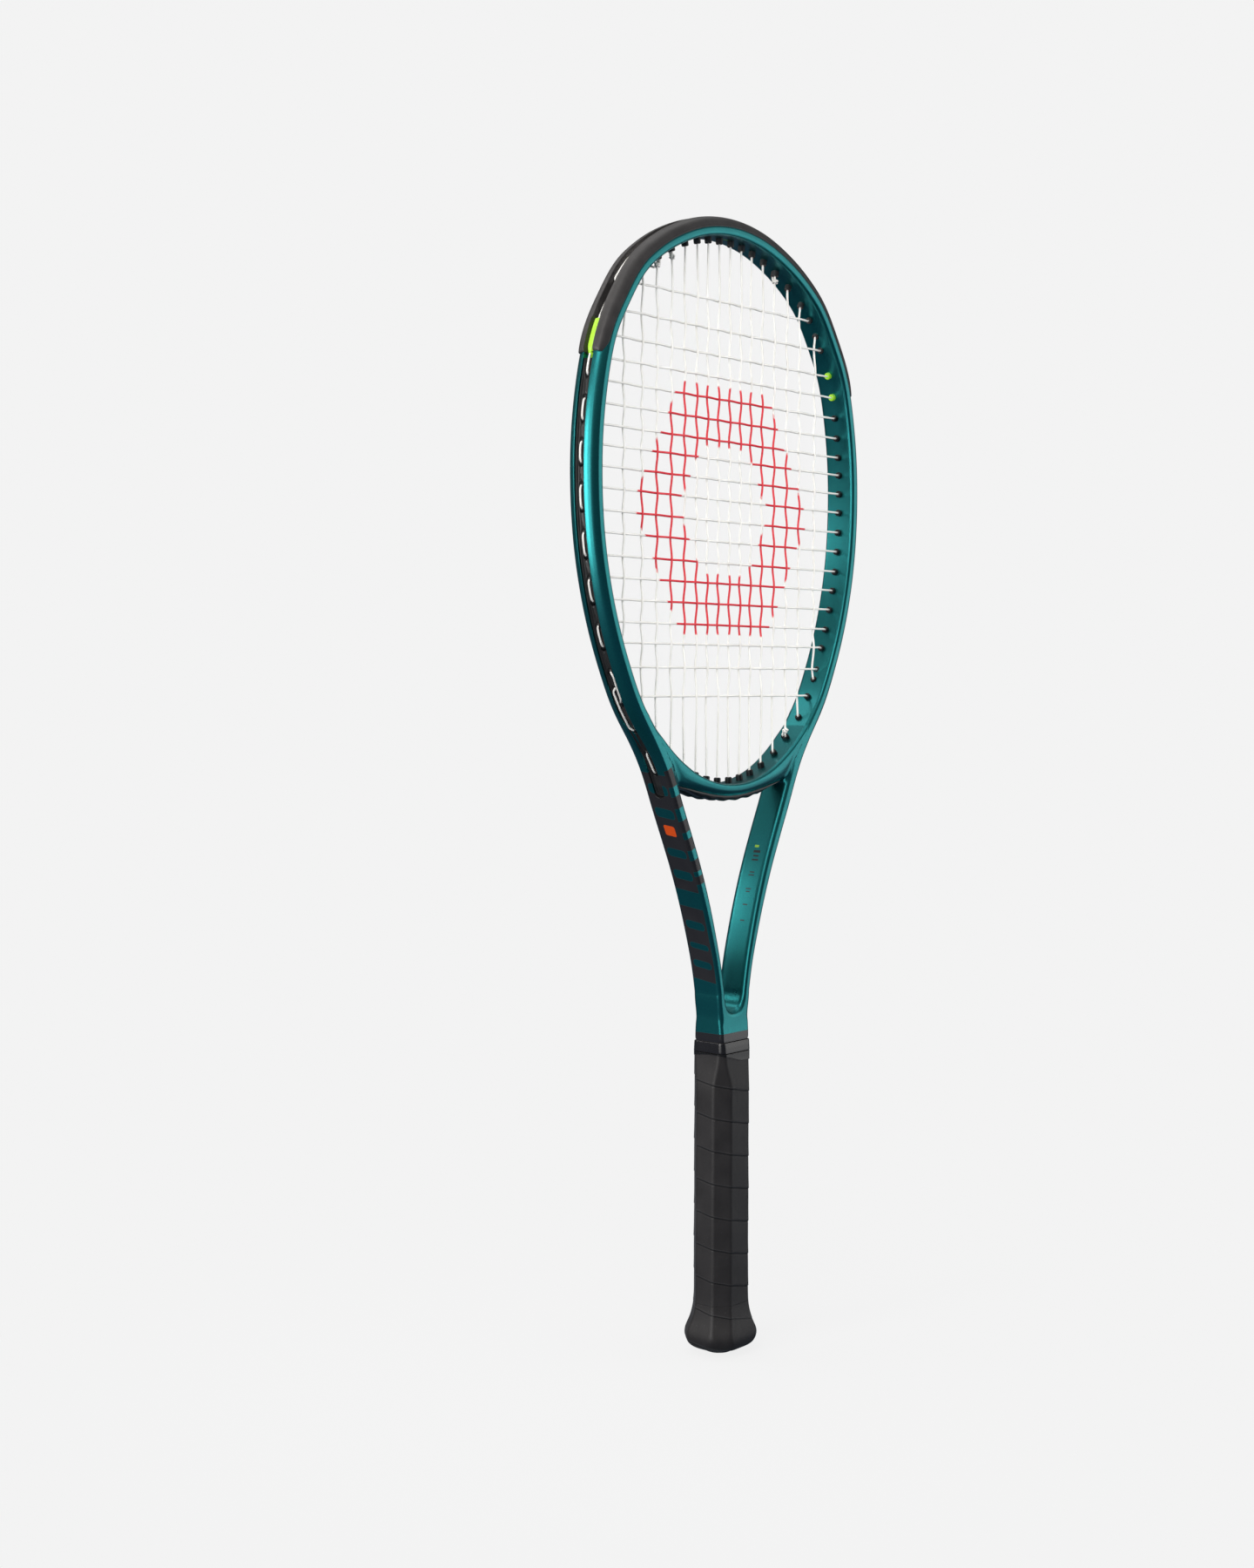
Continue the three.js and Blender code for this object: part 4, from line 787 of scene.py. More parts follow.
def build_hairpin():
    end = S_STRIP1
    r = GROOVE_HALF
    s = list(np.arange(0, end - r, 2.0)) + [end - r]
    gh = [r] * len(s)
    gd = [GROOVE_DEPTH] * len(s)
    for a in np.linspace(0, PI / 2, 9)[1:]:
        s.append(end - r + r * math.sin(a))
        gh.append(max(r * math.cos(a), 0.03))
        gd.append(GROOVE_DEPTH)
    s.append(end + 0.03); gh.append(0.03); gd.append(0.0)
    rest = list(np.arange(end + 1.0, S_END - 0.6, 2.0)) + [S_END]
    s += rest
    gh += [r] * len(rest)
    gd += [0.0] * len(rest)
    s, gh, gd = (np.array(q, float) for q in (s, gh, gd))
    w, m = depth(s), arm_mix(s)
    half = hairpin_half_section(s, w, gh, gd, m)
    ring = full_ring(half, 0.0, w - gd)
    nh = half.shape[1]
    P = put(s[:, None], ring[..., 0], ring[..., 1])
    P[0, :, 0] = 0.0
    # way round: 0 at the inner mid, 1 at the outer mid, by fixed landmarks so that paint edges run clean
    lm = np.concatenate([[0], np.linspace(0.14, 0.26, 7), np.linspace(0.52, 0.60, 5), np.linspace(0.62, 0.72, 11),
                         np.linspace(0.86, 0.88, 5), np.linspace(0.95, 0.97, 3), [1]])
    assert len(lm) == nh + 2, (len(lm), nh)
    # in the arm, the outer side from its corner to the middle runs evenly
    lm_arm = np.concatenate([[0], np.linspace(0.14, 0.26, 7), np.linspace(0.50, 0.56, 5), np.linspace(0.58, 0.64, 11),
                             np.linspace(0.73, 0.75, 5), np.linspace(0.86, 0.875, 3), [1]])
    both = lambda L: np.concatenate([L[:-1], [L[-1]], L[1:-1][::-1]])
    Lm = lerp(both(lm)[None], both(lm_arm)[None], m[:, None])
    U = np.broadcast_to(inner.at(s)[0][:, 1:2], Lm.shape)
    uv = np.stack([U, Lm], -1)

    # the fork: the inner face swings in to the middle of the shaft in a U
    p_end, n_end = inner.at(S_END)
    U_line = centripetal([[16.6, 254], [12.2, 236.8], [p_end[0], p_end[1]], [8.95, 218.0], [7.9, 214.2], [6.0, 211.0], [3.3, 209.1], [0, 208.5], [-3.3, 209.1]], 40)
    k0 = np.argmin(((U_line - p_end) ** 2).sum(1))
    k1 = np.argmin(np.abs(U_line[:, 0]) + (U_line[:, 1] > 215) * 99)
    path = resample(U_line[k0:k1 + 1], 0.9)[1:]
    path[-1, 0] = 0.0
    # even out the curvature of the U, so that it shades as one smooth saddle
    up = resample(U_line[:k0 + 1], 0.9)
    whole = np.concatenate([up, path])
    whole = np.concatenate([whole, whole[:-1][::-1] * [-1, 1]])
    for _ in range(26):
        whole[1:-1] = 0.25 * whole[:-2] + 0.5 * whole[1:-1] + 0.25 * whole[2:]
    easy = smooth(np.clip(np.arange(1, len(path) + 1) / 7.0, 0, 1))[:, None]
    path = path * (1 - easy) + whole[len(up):len(up) + len(path)] * easy
    path[-1, 0] = 0.0
    tt = unit(np.gradient(np.concatenate([U_line[k0:k0 + 1], path]), axis=0))[1:]
    tt[-1] = (-1, 0)
    mm_ = np.stack([-tt[:, 1], tt[:, 0]], 1)
    if mm_[-1][1] > 0:
        mm_ = -mm_
    F = len(path)
    f = np.arange(1, F + 1) / F
    w_end = float(w[-1])
    q0 = p_end + n_end * w_end
    q = np.stack([lerp(q0[0], 13.93, smooth(f)), lerp(q0[1], 205.0, f)], 1)
    wf = np.linalg.norm(q - path, axis=1)
    t1 = np.full(F, 4.0) * (1 - f) + 3.6 * f
    hf = outline(F, (0, 0), [(0, H, t1, 6), (wf - 1.52, H, 1.08, 4), (wf, H - 1.52, 1.08, 5), (wf, H - 3.4, 0.4, 4), (wf, 3.5, 0.45, 4), (wf, 1.75, 0.3, 2)], (wf, 0))
    rf = full_ring(hf, 0.0, wf)
    E = path + mm_ * t1[:, None]
    nn = rf[..., 0]
    inn = path[:, None] + mm_[:, None] * nn[..., None]
    g = np.clip((nn - t1[:, None]) / (wf - t1)[:, None], 0, 1)[..., None]
    outp = E[:, None] * (1 - g) + q[:, None] * g
    XZ = np.where((nn <= t1[:, None] + 1e-6)[..., None], inn, outp)
    Pf = np.stack([XZ[..., 0], rf[..., 1], XZ[..., 1]], -1)
    Pf[-1][np.abs(Pf[-1][:, 0]) < 0.02, 0] = 0.0
    uvf = np.stack([Pf[..., 2], np.broadcast_to(both(lm_arm)[None], Pf.shape[:2])], -1)
    rings = np.concatenate([P, Pf])
    uvs = np.concatenate([uv, uvf])
    R, C = rings.shape[:2]
    co = [rings.reshape(-1, 3)]
    uvl = [uvs.reshape(-1, 2)]
    quads = [grid_quads(R, C)]

    # the shaft: open at the plane of symmetry, from the end of the inner corner on one face to the same on the other
    i0, i1 = 7, C - 7
    cols = np.arange(i0, i1 + 1)
    rows = [(201.5, 13.86, H + 0.1), (198.5, 13.82, H + 0.35), (197.2, 13.8, H + 0.45), (196.7, 13.78, H + 0.5), (193.2, 13.7, H + 0.6), (192.2, 13.6, H + 0.55),
            (191.7, 13.3, H + 0.3), (185.6, 13.2, 10.4), (184.0, 11.2, 8.4), (60.0, 11.2, 8.4), (9.0, 11.2, 8.4)]
    zs = np.array([r_[0] for r_ in rows]); xs = np.array([r_[1] for r_ in rows]); ys = np.array([r_[2] for r_ in rows])
    S = len(rows)
    RR = np.array([2.2, 2.3, 2.3, 2.3, 2.3, 2.4, 2.4, 2.4, 2.4, 2.4, 2.4])
    hs = outline(S, (-8, ys), [(-4.0, ys, 0.01, 6), (xs - 0.586 * RR, ys, 0.414 * RR, 4), (xs, ys - 0.586 * RR, 0.414 * RR, 5), (xs, ys - 3.4, 0.4, 4), (xs, 3.0, 0.4, 4), (xs, 1.5, 0.3, 2)], (xs, 0))
    hs[:, :7, 0] = 0.0
    hs[:, :7, 1] = ys[:, None]
    fr = full_ring(hs, 0.0, xs)[:, i0:i1 + 1]
    Ps = np.stack([fr[..., 0], fr[..., 1], np.broadcast_to(zs[:, None], fr.shape[:2])], -1)
    # the wedge between the last ring of the fork, which slopes, and the first level ring
    last = (R - 1) * C + cols
    base = R * C
    co.append(Ps.reshape(-1, 3))
    uvl.append(np.stack([Ps[..., 2], np.broadcast_to(both(lm_arm)[None, i0:i1 + 1], Ps.shape[:2])], -1).reshape(-1, 2))
    K = len(cols)
    first = base + np.arange(K)
    quads.append(np.stack([last[:-1], last[1:], first[1:], first[:-1]], 1))
    quads.append(grid_quads(S, K, False, False, base))
    # end cap, half of it
    co.append(np.array([[0, 0, 9.0]]))
    uvl.append(np.array([[9.0, 0.5]]))
    cm = base + S * K
    lastrow = base + (S - 1) * K + np.arange(K)
    tris = np.stack([np.full(K - 1, cm), lastrow[:-1], lastrow[1:]], 1)
    co, uvl, quads = np.concatenate(co), np.concatenate(uvl), np.concatenate(quads)

    # mirror, sharing the points on the plane of symmetry
    on = np.abs(co[:, 0]) < 1e-4
    co[on, 0] = 0.0
    n = len(co)
    left = np.where(on, np.arange(n), n + np.cumsum(~on) - 1)
    co2 = np.concatenate([co, co[~on] * [-1, 1, 1]])
    uv2 = np.concatenate([uvl, uvl[~on]])
    q2 = np.concatenate([quads, left[quads][:, ::-1]])
    t2 = np.concatenate([tris, left[tris][:, ::-1]])
    # drop quads that have closed up to nothing on the plane
    def ok(qd):
        s_ = np.sort(qd, 1)
        return (np.diff(s_, axis=1) != 0).all(1)
    good = ok(q2)
    bad = q2[~good]
    extra = []
    for f4 in bad:
        u_ = list(dict.fromkeys(int(i) for i in f4))
        if len(u_) == 3:
            extra.append(u_)
    q2 = q2[good]
    if extra:
        t2 = np.concatenate([t2, np.array(extra)])
    if volume(co2, q2, t2) < 0:
        q2, t2 = q2[:, ::-1], t2[:, ::-1]
    return co2, q2, t2, uv2


hair = list(build_hairpin())


# ------------------------------------------------------------------ frame: throat bridge
def bridge_w(x):
    return np.interp(np.abs(x), [0, 12, 24, 35, 42, 46, 50, 56, 62, 70, 84], [7.8, 7.9, 8.7, 10.6, 12.8, 13.8, 13.2, 10.5, 8.6, 7.2, 7.0])


def build_bridge():
    half_len = float(np.interp(80.0, oval_line.P[oval_line.s >= 0][:, 0], oval_line.s[oval_line.s >= 0]))
    s = np.linspace(-half_len, half_len, 111)
    p, n = oval_line.at(s)
    w = bridge_w(p[:, 0])
    w = blur(w[:, None], 3.0, s[1] - s[0])[:, 0]
    sink = smooth((np.abs(p[:, 0]) - 66) / 10) * 0.5
    top = H - 0.05 - sink * 0.9
    half = outline(len(s), (sink, 0), [(sink, top, 2.6, 6), (w * 0.46 + sink, top, 1.9, 5), (w * 0.86, top - 2.2, 2.2, 6), (w, 5.2, 1.9, 5)], (w, 0))
    ring = full_ring(half, sink, w)
    x = p[:, None, 0] + n[:, None, 0] * ring[..., 0]
    z = p[:, None, 1] + n[:, None, 1] * ring[..., 0]
    P = np.stack([x, ring[..., 1], z], -1)
    lm = np.concatenate([[0], np.linspace(0.14, 0.26, 7), np.linspace(0.45, 0.56, 6), np.linspace(0.60, 0.70, 7), np.linspace(0.74, 0.80, 6), [1]])
    both = np.concatenate([lm[:-1], [1], lm[1:-1][::-1]])
    uv = np.stack([np.broadcast_to(np.full((len(s), 1), 900.0), P.shape[:2]), np.broadcast_to(both[None] * 0, P.shape[:2])], -1)
    r, c = P.shape[:2]
    q = grid_quads(r, c)
    a = np.arange(c)
    b = (a + 1) % c
    t = np.concatenate([np.stack([np.full(c, r * c), b, a], 1), np.stack([np.full(c, r * c + 1), (r - 1) * c + a, (r - 1) * c + b], 1)])
    co = np.concatenate([P.reshape(-1, 3), [P[0].mean(0)], [P[-1].mean(0)]])
    uv = np.concatenate([uv.reshape(-1, 2), [[900, 0]], [[900, 0]]])
    if volume(co, q, t) < 0:
        q, t = q[:, ::-1], t[:, ::-1]
    return co, q, t, uv


bridge = list(build_bridge())


def blend_pair(A, B, K=7.0, region=None):
    """Rounds the inside corners where two shells meet: points near both are moved to the surface
    of their smooth union. Each shell stays a shell of its own."""
    trees = []
    for co, q, t, _ in (A, B):
        faces = [tuple(int(i) for i in f) for f in q] + [tuple(int(i) for i in f) for f in t]
        trees.append(BVHTree.FromPolygons([tuple(v) for v in co], faces))

    def dist(tree, p):
        loc, nor, _, d = tree.find_nearest(p)
        v = p - loc
        sgn = 1.0 if v.dot(nor) >= 0 else -1.0
        return sgn * d, (v * (sgn / d) if d > 1e-5 else nor)

    moved = []
    for k, (co, q, t, _) in enumerate((A, B)):
        other = trees[1 - k]
        own = trees[k]
        new = co.copy()
        cand = np.where(region(co))[0]
        for i in cand:
            p = Vector(co[i])
            b0, _g = dist(other, p)
            if b0 > K + 1.0:
                continue
            level = -0.16 * float(smooth(np.array(-b0 / 1.2))) if b0 < 0 else 0.0
            if b0 < -2.5:
                level = -0.16
            start = p.copy()
            for _ in range(5):
                a, ga = dist(own, p)
                b, gb = dist(other, p)
                kk = K * min(1.0, max(0.0, (1 - ga.dot(gb)) * 1.1))
                if kk < 0.05 or abs(a - b) >= kk:
                    f = min(a, b)
                    g = ga if a < b else gb
                    if b < a - kk:       # deep inside the other shell: leave the point where it is
                        f, g = a, ga
                else:
                    h = 1 - abs(a - b) / kk
                    f = min(a, b) - h * h * kk / 4
                    g = ga * (1 - h / 2) + gb * (h / 2) if a < b else gb * (1 - h / 2) + ga * (h / 2)
                e = f - level
                if abs(e) < 0.01:
                    break
                gl = max(g.length, 0.35)
                step = -e / gl
                step = max(-1.2, min(1.2, step))
                p = p + g * (step / max(g.length, 1e-6))
            if (p - start).length < 5.0:
                new[i] = p
        new[cand, 1] = np.clip(new[cand, 1], -H, H)
        moved.append(new)
    A[0], B[0] = moved


blend_pair(hair, bridge, 4.2, region=lambda co: (np.abs(co[:, 0]) > 26) & (np.abs(co[:, 0]) < 92) & (co[:, 2] > 322) & (co[:, 2] < 402))

o = make_mesh("frame_hairpin_shell", *hair[:3], uv=hair[3], mats=[mat_paint])
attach(o, "racket"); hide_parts("frame_hairpin")
o = make_mesh("throat_bridge_shell", *bridge[:3], uv=bridge[3], mats=[mat_paint])
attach(o, "racket"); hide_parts("throat_bridge")


# ------------------------------------------------------------------ grommet holes
holes = {}


def add_hole(name, tip, d, bridge_hole=False, tie=0):
    tip = np.array([tip[0], tip[1]], float)
    d = unit(np.array(d, float))
    t = 2.0
    while t < 40:
        q = tip + d * t
        if bridge_hole:
            k = np.argmin(((oval_line.P - q) ** 2).sum(1))
            if (q - oval_line.P[k]) @ oval_line.N[k] > 6.1 + GAP + STRIP_T:
                break
        else:
            s_, n_ = inner.near(q)
            if n_ > floor_at(s_) + GAP + STRIP_T:
                break
        t += 0.1
    holes[name] = {"name": name, "tip": np.array([tip[0], 0, tip[1]]), "dir": np.array([d[0], 0, d[1]]), "len": t,
                   "exit": np.array([q[0], 0, q[1]]), "s": None if bridge_hole else float(s_), "bridge": bridge_hole, "tie": tie}


def curve_cross(line, axis, value, mask):
    P, s = line.P, line.s
    a = P[:, axis] - value
    for i in np.where((a[:-1] * a[1:] <= 0) & mask[:-1])[0]:
        f = a[i] / (a[i] - a[i + 1]) if a[i] != a[i + 1] else 0
        return s[i] + f * (s[i + 1] - s[i])
    raise ValueError("no place on the line")


for side in (-1, 1):
    tag0 = "L" if side < 0 else "R"
    rm = inner.s > 0
    for i, x in enumerate(MAIN_X):
        tag = f"{tag0}{i + 1}"
        st = curve_cross(inner, 0, x, rm & (inner.P[:, 1] > 600))
        p, n = inner.at(st)
        add_hole("mt" + tag, (x * side, p[1] - (2.6 if i == 7 else 3.6)), (n[0] * 0.75 * side, 0.25 + n[1] * 0.75),
                 tie=1 if i == 4 else (-1 if i == 5 and side < 0 else 0))
        if x < 40:
            sb = float(np.interp(x, oval_line.P[:, 0], oval_line.s))
            p, n = oval_line.at(sb)
            add_hole("mb" + tag, (x * side, p[1] + 3.6), (n[0] * 0.6 * side, -0.4 + n[1] * 0.6), True)
        elif x < 70:
            sb = float(np.interp(x, oval_line.P[:, 0], oval_line.s))
            p, n = oval_line.at(sb)
            to = np.array([66.6 * side, 352.6]) if i == 4 else np.array([74.4 * side, 364.6])
            tip = np.array([x * side, p[1] + 3.2])
            add_hole("mb" + tag, tip, to - tip, tie=1 if i == 5 and side > 0 else 0)
        else:
            sb = curve_cross(inner, 0, x, rm & (inner.P[:, 1] < 470))
            p, n = inner.at(sb)
            add_hole("mb" + tag, (x * side, p[1] + (2.4 if i == 7 else 2.8)), (n[0] * 0.75 * side, -0.25 + n[1] * 0.75))
    for j, zc in enumerate(CROSS_Z):
        sc = curve_cross(inner, 1, zc, rm & (inner.P[:, 0] > 40))
        p, n = inner.at(sc)
        pro = 0.4 if j == 17 else (1.4 if j == 1 else 2.4)
        add_hole(f"c{tag0}{j + 1}", ((p[0] - pro) * side, zc), ((0.25 + n[0] * 0.75) * side, n[1] * 0.75))


def barrel(B, h, r=2.12, shift=0.0, mat=0, bore=0.95):
    tip = h["tip"] + np.array([0, shift, 0])
    L = h["len"] + 0.2
    prof = [(4.2, 0), (4.2, bore), (0.9, bore), (0.42, bore + 0.04), (0.14, bore + 0.2), (0.0, bore + 0.5), (0.06, r - 0.42), (0.3, r - 0.14), (0.75, r), (L * 0.5, r + 0.04), (L, r + 0.1), (L, 0)]
    B.revolve(tip, h["dir"], prof, 22, mat=mat)
    if h["tie"] and not shift:
        barrel(B, {**h, "tie": 0}, 1.5, 1.75 * h["tie"], mat, 0.8)


# ------------------------------------------------------------------ bumper guard
def build_bumper():
    B = Build()
    S_A = S_LIME0 + 3.5
    s = np.concatenate([np.arange(-S_PRONG, S_PRONG + 0.01, (2 * S_PRONG) / round(2 * S_PRONG / 1.6))])
    s = np.unique(np.concatenate([s, *[k * (S_PRONG - np.array([0.02, 0.1, 0.25, 0.5, 0.9, 1.4, 2.0, 2.8])) for k in (-1, 1)],
                                  *[k * (S_LIME0 + np.array([-0.1, 0.1, 0.6, 1.1])) for k in (-1, 1)]]))
    S = len(s)
    a = np.abs(s)
    f = floor_at(s) + GAP
    taper = smooth((S_LIME0 + 2 - a) / 16)
    crest = lerp(TIP - 673.0 - 1.3, 11.7, smooth(a / 70))
    top = lerp(11.3, crest, taper)                    # crown of the guard above the inner face
    # how far the slot for the accent grommet has opened: 0 above it, 1 in it
    slot = smooth((a - (S_LIME0 - 0.2)) / 1.0)
    y_in = lerp(2.4, 3.05, slot)
    # rounded end of each prong, and its lip swinging outwards
    e = np.clip((a - (S_PRONG - 9.5)) / 9.5, 0, 1)
    lip_n = lerp(5.0, 8.0, e ** 2.2)
    lip_y = lerp(H + 0.02, 8.35, e ** 2.2)
    tip = np.sqrt(np.clip(1 - np.clip((a - (S_PRONG - 2.8)) / 2.8, 0, 1) ** 2, 0, 1))
    crown = lerp(9.75, top, np.maximum(tip, 0.02))
    floor_n = lerp(f + STRIP_T, f - 0.9, slot)
    wd = floor_n
    # front half: lip, shoulder, crest, channel wall, floor
    sh_n = lerp(10.25, 10.0, 1 - tip)
    sh_y = lerp(8.45, 7.6, np.maximum(1 - tip, e ** 2.2 * 0.9))
    shoulder_lip_n = lip_n + 0.9
    shoulder_lip_y = lip_y + lerp(0.10, -0.35, e)
    half = outline(S, (lip_n + 1.2, lip_y - 2.2),
                   [(lip_n, lip_y - 0.15, 0.12, 2), (shoulder_lip_n, shoulder_lip_y, 0.45, 4), (sh_n, sh_y, 2.4, 8),
                    (crown, lerp(5.0, 4.8, e), 1.1, 6), (crown, y_in + 0.15, 0.55, 5), (wd, y_in - 0.1, 0.3, 3)], (wd, 0))
    # the hidden side runs just under the paint
    hid = outline(S, (6.4, 0), [(6.4, 6.8, 0.5, 2)], (lip_n + 1.2, lip_y - 2.2))
    half_all = np.concatenate([hid, half], 1)
    ring = full_ring(half_all, 6.4, wd)
    P = put(s[:, None], ring[..., 0], ring[..., 1])
    L = np.stack([np.broadcast_to(s[:, None], P.shape[:2]), np.broadcast_to(np.linspace(0, 1, P.shape[1])[None], P.shape[:2])], -1)
    B.loft(P, uv=L)
    for h in holes.values():
        if not h["bridge"] and abs(h["s"]) < S_LIME0:
            barrel(B, h)
    return B.make("bumper_guard_moulding", [mat_guard], replaces=["bumper_guard"], slot="guard")


build_bumper()


# ------------------------------------------------------------------ grommet strips in the side grooves
LOOPS = set()


def gap_has_loop(side, s_mid):
    return any(a < s_mid < b for sd, a, b in LOOPS if sd == side)


def note_loops():
    """Which gaps between holes carry a string along the groove; filled before the strips are shaped."""
    for side, tag in ((-1, "L"), (1, "R")):
        for j in range(18):
            on_right = j % 2 == 0
            if (side > 0) == on_right:
                a, b = sorted(abs(holes[f"c{tag}{k}"]["s"]) for k in (j + 1, j + 2))
                LOOPS.add((side, a, b))
        for i, k in ((8, 7), (6, 5)):
            a, b = sorted(abs(holes[f"mb{tag}{q}"]["s"]) for q in (i, k))
            LOOPS.add((side, a, b))


note_loops()


def build_strip(side, tag):
    B = Build()
    a0, a1 = S_LIME1 + GAP, S_STRIP1 - 0.5
    hs = sorted(abs(h["s"]) for h in holes.values() if not h["bridge"] and h["s"] * side > a0 and h["s"] * side < S_STRIP1 + 2)
    s = np.arange(a0, a1 + 0.01, (a1 - a0) / round((a1 - a0) / 0.55))
    ys = np.array([-3.3, -3.15, -2.95, -2.75, -2.5, -2.2, -1.9, -1.6, -1.25, -0.9, -0.5, 0, 0.5, 0.9, 1.25, 1.6, 1.9, 2.2, 2.5, 2.75, 2.95, 3.15, 3.3])
    # round end of the strip, and its width
    end = np.clip((s - (a1 - 3.1)) / 3.1, 0, 1)
    wide = np.sqrt(np.clip(1 - end ** 2, 0.0004, 1))
    Y = ys[None] * wide[:, None]
    D = np.full_like(Y, 1e9)
    for h in hs:
        D = np.minimum(D, np.hypot(s[:, None] - h, Y))
    side_wall = smooth((np.abs(ys)[None] - 1.9) / 0.9)
    height = GAP + STRIP_T + 0.05 + side_wall * 1.15
    ringup = np.exp(-((D - 1.95) / 0.35) ** 2) * 0.22
    dip = -smooth((1.62 - D) / 0.3) * 1.32
    # where no string lies along the groove, a low wavy rib joins the holes
    rib = np.zeros_like(Y)
    for a, b in zip(hs[:-1], hs[1:]):
        mid = (a + b) / 2
        if not gap_has_loop(side, mid) and b - a > 5:
            inside = smooth((s - a - 2.2) / 1.0) * smooth((b - 2.2 - s) / 1.0)
            wave = 0.42 * np.sin((s - a) / (b - a) * 2 * PI)
            rib += inside[:, None] * np.exp(-((Y - wave[:, None]) / 0.5) ** 2) * 0.75
    height = np.maximum(height + ringup * (1 - side_wall * 0.5) + rib + dip * (D < 2), 0.1)
    tail = 1 - end ** 3 * 0.55
    height = height * tail[:, None] + 0.0
    edge = (np.abs(ys) > 3.2)[None]
    n_top = floor_at(s)[:, None] + np.where(edge, 0.4, height)
    top = put((s * side)[:, None], n_top, Y)
    low = put((s * side)[:, None], floor_at(s)[:, None] - 0.6 + 0 * Y, Y)
    rings = np.concatenate([top, low[:, ::-1]], 1)
    L = np.stack([np.broadcast_to(s[:, None], rings.shape[:2]), np.broadcast_to(np.linspace(0, 1, rings.shape[1])[None], rings.shape[:2])], -1)
    part = np.ones((len(s) - 1, rings.shape[1]), int)
    nc = len(ys)
    # painted shade: quads close round each hole take mat_hole, near black, standing in for the shadow down the hole
    part[:, :nc - 1] = np.where((D[:-1, :-1] + D[1:, 1:]) / 2 < 1.5, 2, 1)
    B.loft(rings, uv=L, part=part)
    for h in holes.values():
        if not h["bridge"] and h["s"] * side > a0 and h["s"] * side < S_STRIP1 + 2:
            barrel(B, h)
    name = "side_grommet_strip_" + tag
    return B.make(name + "_moulding", [mat_grommet, mat_strip, mat_hole], replaces=[name], slot="grommet")


build_strip(-1, "left")
build_strip(1, "right")


def build_accent(side, tag):
    """Lime double grommet: a crowned tab in the slot between the prongs, pointed at its lower end."""
    B = Build()
    a0, a1 = S_LIME0 + 0.25, S_LIME1 - 0.2
    s = np.concatenate([a0 + np.array([0, 0.06, 0.2, 0.45, 0.8]), np.linspace(a0 + 1.2, a1 - 7.0, 26), a1 - 7.0 + 7.0 * np.sin(np.linspace(0.08, 1, 18) * PI / 2)])
    e0 = np.sqrt(np.clip(1 - np.clip((a0 + 0.8 - s) / 0.8, 0, 1) ** 2, 0.02, 1))
    point = np.clip((s - (a1 - 7.0)) / 7.0, 0, 1)
    wide = lerp(2.7, 0.25, point ** 1.6)
    f = floor_at(s) + GAP
    rise = lerp(9.95, f + 1.4, point ** 2.0)
    rise = lerp(f + 0.9, rise, e0)
    q = np.linspace(-1, 1, 19)
    prof = np.sqrt(np.clip(1 - np.abs(q) ** 3.2, 0, 1)) ** 0.9
    Y = q[None] * wide[:, None]
    n_top = (f - 0.2)[:, None] + (rise - f + 0.2)[:, None] * prof[None]
    top = put((s * side)[:, None], n_top, Y)
    low = put((s * side)[:, None], (f - 1.2)[:, None] + 0 * Y, Y)
    B.loft(np.concatenate([top, low[:, ::-1]], 1))
    for h in holes.values():
        if not h["bridge"] and h["s"] * side > S_LIME0 and h["s"] * side < S_LIME1:
            barrel(B, h, r=2.15)
    name = "accent_grommet_" + tag
    return B.make(name + "_moulding", [mat_lime], replaces=[name], slot="lime_grommet")


build_accent(-1, "left")
build_accent(1, "right")


def build_throat_strip():
    B = Build()
    half_len = float(np.interp(47.0, oval_line.P[:, 0], oval_line.s))
    s = np.linspace(-half_len, half_len, 141)
    p, n = oval_line.at(s)
    x = p[:, 0]
    w = blur(bridge_w(x)[:, None], 3.0, s[1] - s[0])[:, 0]
    hx = [float(np.interp(k * m, oval_line.P[:, 0], oval_line.s)) for m in MAIN_X[:4] for k in (-1, 1)]
    bump_ = sum(np.exp(-((s - q) / 3.6) ** 2) for q in hx)
    end = smooth((np.abs(x) - 33) / 13)
    lowest = lerp(w + 1.75 + 0.85 * bump_, w + 0.2 - 0.0 * bump_, end)
    lowest = np.minimum(lowest, lerp(11.2, 13.5, end))
    top = w - 2.5
    yy = lerp(6.6, 5.4, end)
    half = outline(len(s), (top, 0), [(top, yy, 0.3, 2), (w + 0.2, yy + 0.25, 0.35, 3), (lowest, yy - 0.7, 1.2, 6), (lowest - 0.1, 2.2, 0.5, 4), (lowest - 1.1 * (1 - end), 1.5, 0.4, 3)], (lowest - 1.1 * (1 - end), 0))
    ring = full_ring(half, top, lowest - 1.1 * (1 - end))
    P = np.stack([p[:, None, 0] + n[:, None, 0] * ring[..., 0], ring[..., 1], p[:, None, 1] + n[:, None, 1] * ring[..., 0]], -1)
    B.loft(P)
    for h in holes.values():
        if h["bridge"]:
            barrel(B, h)
    return B.make("throat_grommet_strip_moulding", [mat_grommet], replaces=["throat_grommet_strip"], slot="grommet")


build_throat_strip()


# ------------------------------------------------------------------ strings
LIFT = GAP + STRIP_T + 0.17 + STRING_R
LANE = 1.75


def groove_pt(s, y, extra=0.0):
    return put(s, floor_at(s) + LIFT + extra, y)


def bridge_pt(x, y, extra=0.0):
    s_ = float(np.interp(x, oval_line.P[:, 0], oval_line.s))
    p, n = oval_line.at(s_)
    q = p + n * (6.1 + LIFT + extra)
    return np.array([q[0], y, q[1]])


